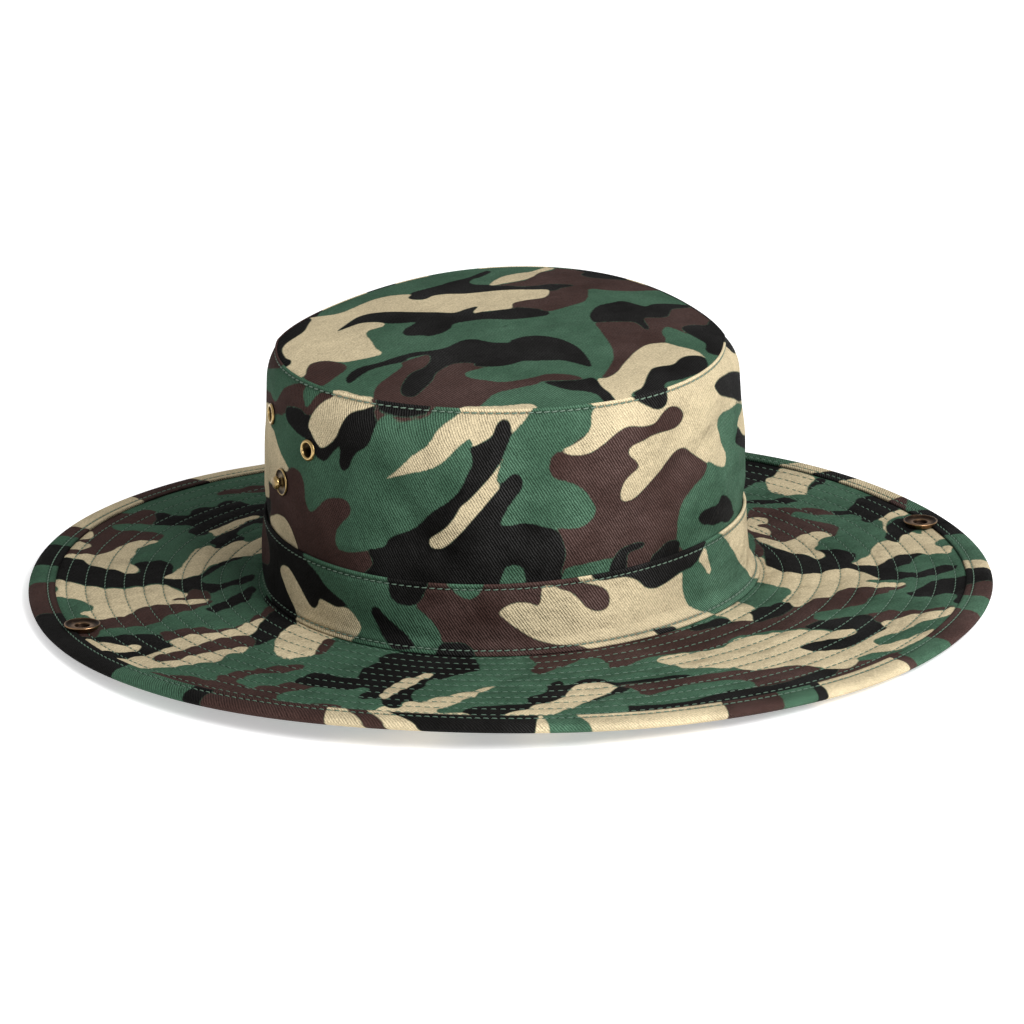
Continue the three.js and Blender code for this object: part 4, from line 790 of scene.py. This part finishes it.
HOLE_CUT, HOLE_EDGE, HOLE_DEPTH = 2.2, 3.3, 8
# How the painted sheen falls off toward the hat's left, painted as the side away from the light: how fast, its
# height in the middle and its least
SHEEN_SIDE_SPREAD, SHEEN_SIDE_MIDDLE, SHEEN_SIDE_LEAST = 60, 1.6, 0.25
# Painted shade along the rows of stitches: how dark and how wide
GROOVE_SHADE, GROOVE_WIDTH = 2.0, 0.45


def open_hole(points, faces, place):
    """Opens a round hole for an eyelet: the near points move to its edge, the faces inside go."""
    middle, out = place
    away = points - middle
    level = away - (away @ out)[:, None] * out
    distance = np.linalg.norm(level, axis=1)
    close = (distance < HOLE_EDGE) & (np.linalg.norm(away, axis=1) < HOLE_DEPTH)
    push = close & (distance >= HOLE_CUT)
    points[push] += level[push] * (HOLE_EDGE / distance[push] - 1)[:, None]
    return faces[~(close & (distance < HOLE_CUT))[faces].any(1)]


def cloth_piece(node, points, inks, flat, weave, wear_and_groove_shade, cloth, inner_columns=0, holes=()):
    """A cloth piece over a grid of points. flat is where they lie on the cloth, weave the slant of its
    ribs there, and the faces of the last inner_columns show the cloth's reverse."""
    shape = points.shape[:2]
    points = points.reshape(-1, 3)
    faces = grid_faces(*shape)
    for place in holes:
        faces = open_hole(points, faces, place)
    u, v = flat
    # The painted sheen is less at the hat's left, which is painted as the side away from the light
    painted_sheen_side = np.clip(points[:, 0] / SHEEN_SIDE_SPREAD + SHEEN_SIDE_MIDDLE, SHEEN_SIDE_LEAST, 1)
    materials = [cloth, inside_cloth] if inner_columns else [cloth]
    piece = add_piece(f"{node}_cloth", points, faces, {
        **inks, "rib": u * weave[0] + v * weave[1], "yarn": v * weave[0] - u * weave[1],
        "wear_and_groove_shade": np.broadcast_to(wear_and_groove_shade, shape), "painted_sheen_side": painted_sheen_side}, materials, node)
    inner = (faces % shape[1] >= shape[1] - inner_columns).all(1)
    piece.data.polygons.foreach_set("material_index", inner.astype(np.int32))


# A stitch's sections: how far along its half length, how high
STITCH_STATIONS = ((-1.0, -0.30), (-0.55, 0.16), (0.55, 0.16), (1.0, -0.30))
STITCH_HALF_WIDTH = 0.252
STITCH_HALF_HEIGHT = 0.196
STITCH_LEAN = 0.12
STITCH_THIN_END = 0.55
FINE_TURNS = np.linspace(0, FULL_TURN, 1801)


def stitches(surface, pitch=2.9, thick=1.0, share=0.88):
    """A row of stitches; surface(turn, across, up) is a point on or off the cloth at the row."""
    steps = np.linalg.norm(np.diff(surface(FINE_TURNS, 0.0, 0.0), axis=0), axis=1)
    lengths = np.concatenate([[0], np.cumsum(steps)])
    count = round(lengths[-1] / pitch)
    at = np.interp((np.arange(count) + 0.5) / count * lengths[-1], lengths, FINE_TURNS)
    half = np.gradient(at) / 2
    points, faces = [], []
    for way, up in STITCH_STATIONS:
        thin = STITCH_THIN_END if abs(way) == 1 else 1.0
        for angle in np.radians((45, 135, 225, 315)):
            across = math.cos(angle) * STITCH_HALF_WIDTH * thin * thick + STITCH_LEAN * way
            lift = math.sin(angle) * STITCH_HALF_HEIGHT * thin + up
            points.append(surface(at + half * share * way, across, lift))
    points = np.stack(points, 1)
    last = len(points[0]) - 4
    for first in range(0, last, 4):
        for side in range(4):
            here, beside = first + side, first + (side + 1) % 4
            faces.append((here, beside, beside + 4, here + 4))
    faces += [(3, 2, 1, 0), (last, last + 1, last + 2, last + 3)]
    faces = np.array(faces)[None] + np.arange(count)[:, None, None] * (last + 4)
    return points.reshape(-1, 3), faces.reshape(-1, 4)


def add_stitches(name, rows, thread):
    """Several rows of stitches as one piece."""
    starts = np.cumsum([0] + [len(points) for points, _ in rows])
    points = np.concatenate([points for points, _ in rows])
    faces = np.concatenate([faces + start for (_, faces), start in zip(rows, starts)])
    add_piece(name, points, faces, {}, [thread])


def groove_shade(place, row, width=GROOVE_WIDTH):
    """How much painted shade darkens the cloth where a row of stitches draws it in."""
    return GROOVE_SHADE * np.exp(-((place - row) / width) ** 2)


def columns(*stretches):
    """Values across a grid, one after another."""
    return np.concatenate([np.asarray(stretch, dtype=float) for stretch in stretches])[None, :]


# Crown side

SIDE_TURNS = 560
SIDE_WEAVE = (0.866, 0.5)
SEAM_ROW = 97.35
SEAM_STITCH_DEPTH = 0.38
# The side's cloth rises past the stitches, rolls over the seam and goes down inside: out, height
RIDGE = ((-0.3, 96.6), (-0.45, SEAM_ROW), (-0.15, 98.0), (-0.15, 98.4), (-0.45, 98.75), (-0.8, 98.8),
         (-1.1, 98.5), (-1.5, 97.8), (-1.8, 97.4))
SIDE_HEIGHTS = columns([0.4, 4, 12, 20], np.arange(28, 95.9, 1.05))
SIDE_INNER_HEIGHTS = columns(np.arange(96.5, 40, -1.3), [31.8, 16, 0.4])
SEAM_WEAR, SEAM_WORN = (97.9, 100.5), 0.6
# Fittings: turn in degrees, then the height on the crown or the way out on the brim
EYELETS = {
    "left_front": (199.4, 74.1), "left_rear": (177.5, 78.2), "right_front": (353, 74), "right_rear": (17, 76),
}
STUDS = {"left": (186.6, 55.7), "right": (4.4, 55)}
SOCKETS = {"left": (182.3, 75), "right": (0.5, 75)}


def facing(surface, row, side=1):
    """A fitting's place on a surface and which way it faces there."""
    turn, way = np.array(math.radians(row[0])), np.array(float(row[1]))
    across = surface(turn + SMALL_TURN, way) - surface(turn - SMALL_TURN, way)
    along = surface(turn, way + 2) - surface(turn, way - 2)
    out = np.cross(across, along) * side
    return surface(turn, way), out / np.linalg.norm(out)


def wall_place(row):
    point, out = facing(wall, row)
    return point - out * CROWN_CLOTH / 2, out


def crown_side():
    turn = turns(SIDE_TURNS)
    ridge_out, ridge_up = (columns(column) for column in zip(*RIDGE))
    over = oval_sizes(np.full_like(ridge_up, SEAM))
    over[0] = ridge_up
    points = np.concatenate([wall(turn, SIDE_HEIGHTS), oval_point(over, turn, ridge_out),
                             wall(turn, SIDE_INNER_HEIGHTS, -CROWN_CLOTH)], 1)
    past_seam = ridge_up + np.maximum(0, -ridge_out - 1) * 0.9
    up = np.concatenate([SIDE_HEIGHTS, past_seam, SIDE_INNER_HEIGHTS], 1)
    # Wear pales the rolled seam; painted shade darkens the cloth along its stitch row
    wear_and_groove_shade = np.where((up > SEAM_WEAR[0]) & (up < SEAM_WEAR[1]), SEAM_WORN, 0.0) - groove_shade(up, SEAM_ROW)
    cloth_piece("crown_side", points, side_inks(turn, up, SIDE_PRINT), (turn * PRINT_RADIUS, up), SIDE_WEAVE,
                wear_and_groove_shade, side_cloth, SIDE_INNER_HEIGHTS.size, [wall_place(row) for row in EYELETS.values()])


crown_side()


def seam_surface(turn, across, up):
    sizes = oval_sizes(np.full_like(turn, SEAM))
    sizes[0] = np.full_like(turn, SEAM_ROW + across)
    return oval_point(sizes, turn, up - SEAM_STITCH_DEPTH)


# Crown tip

TIP_TURNS = 400
TIP_WEAVE = (0.94, 0.34)
TIP_SHARES = columns([0.001, 0.015, 0.03, 0.045], np.linspace(0.06, 0.99, 66))
TIP_TOP, TIP_UNDER = 0.5, -1.0


def crown_tip():
    turn = turns(TIP_TURNS)
    under = TIP_SHARES[:, ::-6]
    points = np.concatenate([tip(turn, TIP_SHARES, TIP_TOP), tip(turn, under, TIP_UNDER)], 1)
    cloth_piece("crown_tip", points, plan_inks(points, ((TIP_PRINT, (0, 0)),)),
                (points[..., 0], points[..., 1]), TIP_WEAVE, 0, tip_cloth, under.size)


crown_tip()

# Band

BAND_ROW_LOW, BAND_ROW_HIGH = 5.9, 29.8
# The band's folded edges: out from the oval, height
BAND_EDGE_LOW = ((-0.9, 3.75), (-0.3, 3.72), (0.15, 4.0), (0.35, 4.7))
BAND_EDGE_HIGH = ((0.25, 31.5), (0.05, 31.8), (-0.4, 31.9), (-0.85, 31.75), (-1.0, 31.4))
BAND_HEIGHTS = columns(np.arange(5.2, 7, 0.35), np.arange(7.8, 28.4, 1.0), np.arange(28.8, 31.2, 0.35))
BAND_BACK_HEIGHTS = columns(np.linspace(28, 4.5, 9))
BAND_WEAR, BAND_WORN = 31.2, 0.8
BAND_BULGE, BAND_DRAWN_IN, BAND_ROW_WIDTH = 0.25, 0.4, 0.7
BAND_STITCH_DEPTH = 0.12
# Soft waves of the band between its rows: waves round the hat, height, start
BAND_WAVES = ((7, 0.3, 1), (13, 0.3, 2), (23, 0.2, 0))


def hat_band():
    turn = turns(SIDE_TURNS)
    low_out, low_up = (columns(column) for column in zip(*BAND_EDGE_LOW))
    high_out, high_up = (columns(column) for column in zip(*BAND_EDGE_HIGH))
    # The band is drawn in at its stitch rows
    to_row = np.minimum(abs(BAND_HEIGHTS - BAND_ROW_LOW), abs(BAND_HEIGHTS - BAND_ROW_HIGH))
    bulge = BAND_BULGE - BAND_DRAWN_IN * np.exp(-(to_row / BAND_ROW_WIDTH) ** 2)
    between = np.clip((BAND_HEIGHTS - BAND_ROW_LOW) / (BAND_ROW_HIGH - BAND_ROW_LOW), 0, 1)
    sway = sum(height * np.sin(waves * turn + start) for waves, height, start in BAND_WAVES)
    around = np.ones_like(turn)
    outward = np.concatenate([low_out * around, bulge + sway * np.sin(math.pi * between), high_out * around,
                              np.full_like(BAND_BACK_HEIGHTS, -BAND_CLOTH) * around], 1)
    up = np.concatenate([low_up, BAND_HEIGHTS, high_up, BAND_BACK_HEIGHTS], 1)
    # Wear pales the band's top fold; painted shade darkens the cloth along its two stitch rows
    wear_and_groove_shade = np.where(up > BAND_WEAR, BAND_WORN, 0.0)
    wear_and_groove_shade = wear_and_groove_shade - groove_shade(up, BAND_ROW_LOW) - groove_shade(up, BAND_ROW_HIGH)
    cloth_piece("hat_band", oval_point(oval_sizes(up), turn, outward), side_inks(turn, up, BAND_PRINT),
                (turn * PRINT_RADIUS, up), SIDE_WEAVE, wear_and_groove_shade, side_cloth)


hat_band()


def band_surface(height):
    return lambda turn, across, up: oval_point(
        oval_sizes(np.full_like(turn, height + across)), turn, up - BAND_STITCH_DEPTH)


add_stitches("band_stitches", [stitches(band_surface(BAND_ROW_LOW)), stitches(band_surface(BAND_ROW_HIGH)),
                               stitches(seam_surface, thick=1.3)], seam_thread_painted_lighter)

# Brim

BRIM_TURNS = 640
BRIM_WEAVE = (0.90, 0.43)
ROW_FIRST, ROW_PITCH, ROW_COUNT = 1.2, 7.3, 11
ROWS = ROW_FIRST + ROW_PITCH * np.arange(ROW_COUNT)
ROW_STEPS = np.array([0, 0.3, 0.75, 1.6, 3.0, 4.3, 5.7, 6.55, 7.0])
ROW_STEPS_UNDER = np.array([6.5, 3.65, 0.8, 0])
BRIM_INNER_EDGE = -1.0
UNDER_BINDING = 78.5
BRIM_EDGE_WAYS = (79.5, 86.6)
CHANNEL_HEIGHT, CHANNEL_ROUNDNESS, CHANNEL_FOOT = 0.6, 0.55, 0.12
# Puckers: how uneven they make the channels, and their waves round the hat
PUCKER, PUCKER_WAVES = 0.3, (67, 23)
ROW_DEPTH = 0.14


def channel(way):
    """How far the cloth stands up between two rows of stitches."""
    crown = np.abs(np.sin(math.pi * (way - ROW_FIRST) / ROW_PITCH)) ** CHANNEL_ROUNDNESS
    return np.where(way > UNDER_BINDING, -0.1, CHANNEL_HEIGHT * crown - CHANNEL_FOOT)


def brim_sheet():
    turn = turns(BRIM_TURNS)
    ways = (ROWS[:, None] + ROW_STEPS).ravel()
    ways = columns([BRIM_INNER_EDGE, 0.3], ways[ways < UNDER_BINDING], BRIM_EDGE_WAYS)
    under = (ROWS[::-1, None] + ROW_STEPS_UNDER).ravel()
    under = columns(BRIM_EDGE_WAYS[::-1], under[under < UNDER_BINDING], [BRIM_INNER_EDGE])
    fine, coarse = PUCKER_WAVES
    uneven = 1 + PUCKER * np.sin(fine * turn + ways) * np.sin(coarse * turn - 0.3 * ways)
    puff = channel(ways) * np.where(ways > UNDER_BINDING, 1, uneven)
    points = np.concatenate([brim(turn, ways, BRIM_CLOTH / 2 + puff - 0.1),
                             brim(turn, under, -BRIM_CLOTH / 2 - channel(under) * 0.5)], 1)
    inks = plan_inks(points, ((FRONT_PRINT, FRONT_AGAIN), (FRONT_PRINT, (0, 0)), (BRIM_PRINT, (0, 0))))
    # Painted shade darkens the brim's cloth along each row of stitches
    to_row = (np.concatenate([ways, under], 1) - ROW_FIRST + 1) % ROW_PITCH
    cloth_piece("brim", points, inks, (points[..., 0], points[..., 1]), BRIM_WEAVE,
                -0.4 * groove_shade(to_row, 1, 0.35), brim_cloth)


brim_sheet()


def brim_surface(way, lift, side=1):
    return lambda turn, across, up: brim(turn, way + across, side * (lift + up))


ROW_LIFT = BRIM_CLOTH / 2 - ROW_DEPTH
add_stitches("brim_stitches",
             [stitches(brim_surface(row, ROW_LIFT), 3.3, 0.75, 0.78) for row in ROWS], brim_thread_painted_darker)
add_stitches("brim_under_stitches",
             [stitches(brim_surface(row, ROW_LIFT, -1), 3.2) for row in ROWS], brim_thread_painted_darker)

# Binding

BINDING_TURNS = 720
BINDING_WEAVE = (0.8, -0.6)
BINDING_RADIUS = 172.0
BINDING_ROW, BINDING_INNER = 81.1, 78.2
BINDING_STITCH_LIFT = 1.6
# Where the fold is worn pale, how far round it and how much
FOLD_MIDDLE, FOLD_REACH, FOLD_WORN = 88.0, 1.5, 0.5
# Places round the section: its inner edge, and its hollow
EDGE_ACROSS, HOLLOW_ACROSS = -0.6, 5.0
# Half of the binding's section, from its top inner edge to the fold: out, up
BINDING_HALF = ((78.2, 1.0), (78.25, 1.55), (78.6, 1.85), (79.4, 1.95), (80.3, 1.9), (80.8, 1.65), (81.1, 1.55),
                (81.4, 1.65), (82.0, 1.9), (83.5, 2.0), (85.2, 1.95), (86.6, 1.65), (87.6, 1.1), (88.2, 0.5))
BINDING_FOLD = (BRIM_WIDTH, 0.0)
BINDING_HOLLOW = ((79, -0.85), (86.9, -0.85), (87.2, 0), (86.9, 0.85), (79, 0.85))


def brim_binding():
    turn = turns(BINDING_TURNS)
    upper = np.array(BINDING_HALF)
    section = np.concatenate([upper, [BINDING_FOLD], upper[::-1] * [1, -1]])
    around = np.cumsum(np.linalg.norm(np.diff(section, axis=0), axis=1)) + EDGE_ACROSS
    across = columns([EDGE_ACROSS], around, [HOLLOW_ACROSS] * len(BINDING_HOLLOW))
    section = np.concatenate([section, BINDING_HOLLOW])[None]
    way = section[..., 0]
    points = brim(turn, way, section[..., 1])
    at_fold = np.clip(1 - abs(way - FOLD_MIDDLE) / FOLD_REACH, 0, 1)
    # Wear pales the binding's fold; painted shade darkens it along its stitch row and its inner edge
    wear_and_groove_shade = at_fold * FOLD_WORN - groove_shade(way, BINDING_ROW) - groove_shade(way, BINDING_INNER)
    cloth_piece("brim_binding", points, binding_inks(points, across), (turn * BINDING_RADIUS, across),
                BINDING_WEAVE, wear_and_groove_shade, binding_cloth)


brim_binding()
add_stitches("binding_stitches", [stitches(brim_surface(BINDING_ROW, BINDING_STITCH_LIFT, side))
                                  for side in (1, -1)], brim_thread_painted_darker)

# Fittings

# Profiles: radius, height over the cloth's face, and how dull the metal is there
EYELET_PROFILE = (
    (2.6, -3.2, 1), (2.6, 0.3, 0.6), (2.65, 0.75, 0.1), (2.9, 1.05, 0), (3.3, 1.1, 0), (3.7, 0.95, 0.05),
    (4.0, 0.65, 0.2), (4.05, 0.35, 0.6), (3.95, 0.2, 1), (3.0, 0.1, 1), (3.0, -2.0, 1), (4.0, -2.1, 0.6),
    (4.0, -2.6, 0.3), (3.0, -3.0, 0.2), (2.6, -3.2, 1),
)
STUD_PROFILE = (
    (0, -2.9, 0.5), (4.2, -2.9, 0.5), (4.8, -2.5, 0.5), (4.8, -2.0, 0.8), (1.5, -2.0, 1), (1.5, 0.1, 1),
    (5.0, 0.15, 1), (5.15, 0.45, 0.6), (5.05, 0.85, 0.05), (4.8, 0.95, 0.05), (4.6, 0.8, 0.9), (4.0, 0.5, 1),
    (2.6, 0.45, 0.8), (1.8, 0.6, 0.6), (1.5, 1.1, 0.9), (1.6, 1.6, 0.9), (2.1, 1.8, 0.5), (2.5, 2.15, 0.15),
    (2.55, 2.6, 0.1), (2.45, 3.1, 0.15), (2.1, 3.5, 0.3), (1.5, 3.7, 0.5), (0.8, 3.75, 0.6), (0, 3.75, 0.6),
)
SOCKET_PROFILE = (
    (0, -2.8, 0.3), (4.0, -2.8, 0.3), (5.6, -2.65, 0.3), (6.1, -2.3, 0.5), (6.0, -2.0, 0.9), (2.0, -1.9, 1),
    (2.0, 0.2, 1), (4.9, 0.25, 0.9), (5.6, 0.8, 0.6), (6.2, 1.6, 0.5), (6.6, 2.2, 0.4), (6.7, 2.5, 0.1),
    (6.6, 2.75, 0.05), (6.35, 2.8, 0.7), (6.0, 2.5, 1), (5.5, 2.0, 1), (4.4, 1.8, 0.8), (3.6, 2.0, 0.5),
    (3.1, 2.1, 0.4), (2.8, 1.9, 0.9), (2.65, 1.3, 1), (2.65, 0.6, 1), (0, 0.5, 1),
)
FITTING_SIDES = 40
SMALLEST_RADIUS = 0.02
ON_WALL, ON_BRIM = CROWN_CLOTH / 2, BRIM_CLOTH / 2


def turned(node, profile, place, lift, metal):
    """A turned fitting that stands square on the cloth."""
    point, out = place
    side = np.cross(out, (0, 0, 1) if abs(out[2]) < 0.7 else (1, 0, 0))
    side /= np.linalg.norm(side)
    other = np.cross(out, side)
    angle = turns(FITTING_SIDES)[..., None]
    radius, height, dull = (np.array(column)[None, :, None] for column in zip(*profile))
    radius = np.maximum(radius, SMALLEST_RADIUS)
    points = point + out * (height + lift) + radius * (side * np.cos(angle) + other * np.sin(angle))
    add_piece(f"{node}_metal", points, grid_faces(FITTING_SIDES, len(profile), False),
              {"dull": np.tile(dull.ravel(), FITTING_SIDES)}, [metal], node)


for name, row in EYELETS.items():
    turned(f"eyelet_{name}", EYELET_PROFILE, wall_place(row), ON_WALL, brass)
for name, row in STUDS.items():
    turned(f"crown_stud_{name}", STUD_PROFILE, wall_place(row), ON_WALL, brass)
for name, row in SOCKETS.items():
    turned(f"brim_socket_{name}", SOCKET_PROFILE, facing(brim, row, -1), ON_BRIM, coppery_brass)

# Floor, light and camera

FLOOR_HALF = 6
FLOOR_PAINT, WHITE = (0.96, 0.96, 0.96, 1), (1, 1, 1, 1)
FLOOR_GLOW, STUDIO_LIGHT = 0.42, 0.54


def add_object(name, data, place=(0, 0, 0), toward=None):
    """Adds an object to the scene; a lamp or camera faces along toward."""
    thing = bpy.data.objects.new(name, data)
    thing.location = place
    if toward is not None:
        thing.rotation_euler = toward.to_track_quat("-Z", "Y").to_euler()
    bpy.context.scene.collection.objects.link(thing)
    return thing


floor_mesh = bpy.data.meshes.new("floor")
floor_corners = [(x * FLOOR_HALF, y * FLOOR_HALF, 0) for x, y in ((-1, -1), (1, -1), (1, 1), (-1, 1))]
floor_mesh.from_pydata(floor_corners, [], [(0, 1, 2, 3)])
floor_mesh.materials.append(Nodes("floor_paper").shade({
    "Base Color": FLOOR_PAINT, "Roughness": 0.9, "Emission Color": WHITE, "Emission Strength": FLOOR_GLOW}))
add_object("floor", floor_mesh)

world = bpy.data.worlds.new("studio")
world.use_nodes = True
background = world.node_tree.nodes["Background"].inputs
background["Color"].default_value = WHITE
background["Strength"].default_value = STUDIO_LIGHT
bpy.context.scene.world = world

SUN_DIRECTION = Vector((-0.42, 0.60, -0.68))
sun = bpy.data.lights.new("key", "SUN")
sun.energy = 1.05
sun.angle = math.radians(40)
add_object("key", sun, toward=SUN_DIRECTION)

SOFTBOX_PLACE = Vector((0.15, -0.66, 0.54))
SOFTBOX_TARGET = Vector((0, 0, 0.03))
softbox = bpy.data.lights.new("front", "AREA")
softbox.size = 0.4
softbox.energy = 5.2
add_object("front", softbox, SOFTBOX_PLACE, SOFTBOX_TARGET - SOFTBOX_PLACE)

AZIMUTH = math.radians(-19.8)
ELEVATION = math.radians(18.0)
DISTANCE = 1.6
TARGET = Vector((-1.18, -0.41, 29.5)) * MM
away = Vector((math.sin(AZIMUTH) * math.cos(ELEVATION), -math.cos(AZIMUTH) * math.cos(ELEVATION),
               math.sin(ELEVATION)))
camera_data = bpy.data.cameras.new("camera")
camera_data.lens = 148.0
camera_data.sensor_width = 36.0
camera_data.clip_end = 50
camera = add_object("camera", camera_data, TARGET + away * DISTANCE, -away)
bpy.context.scene.camera = camera
bpy.context.scene.view_settings.view_transform = "Standard"
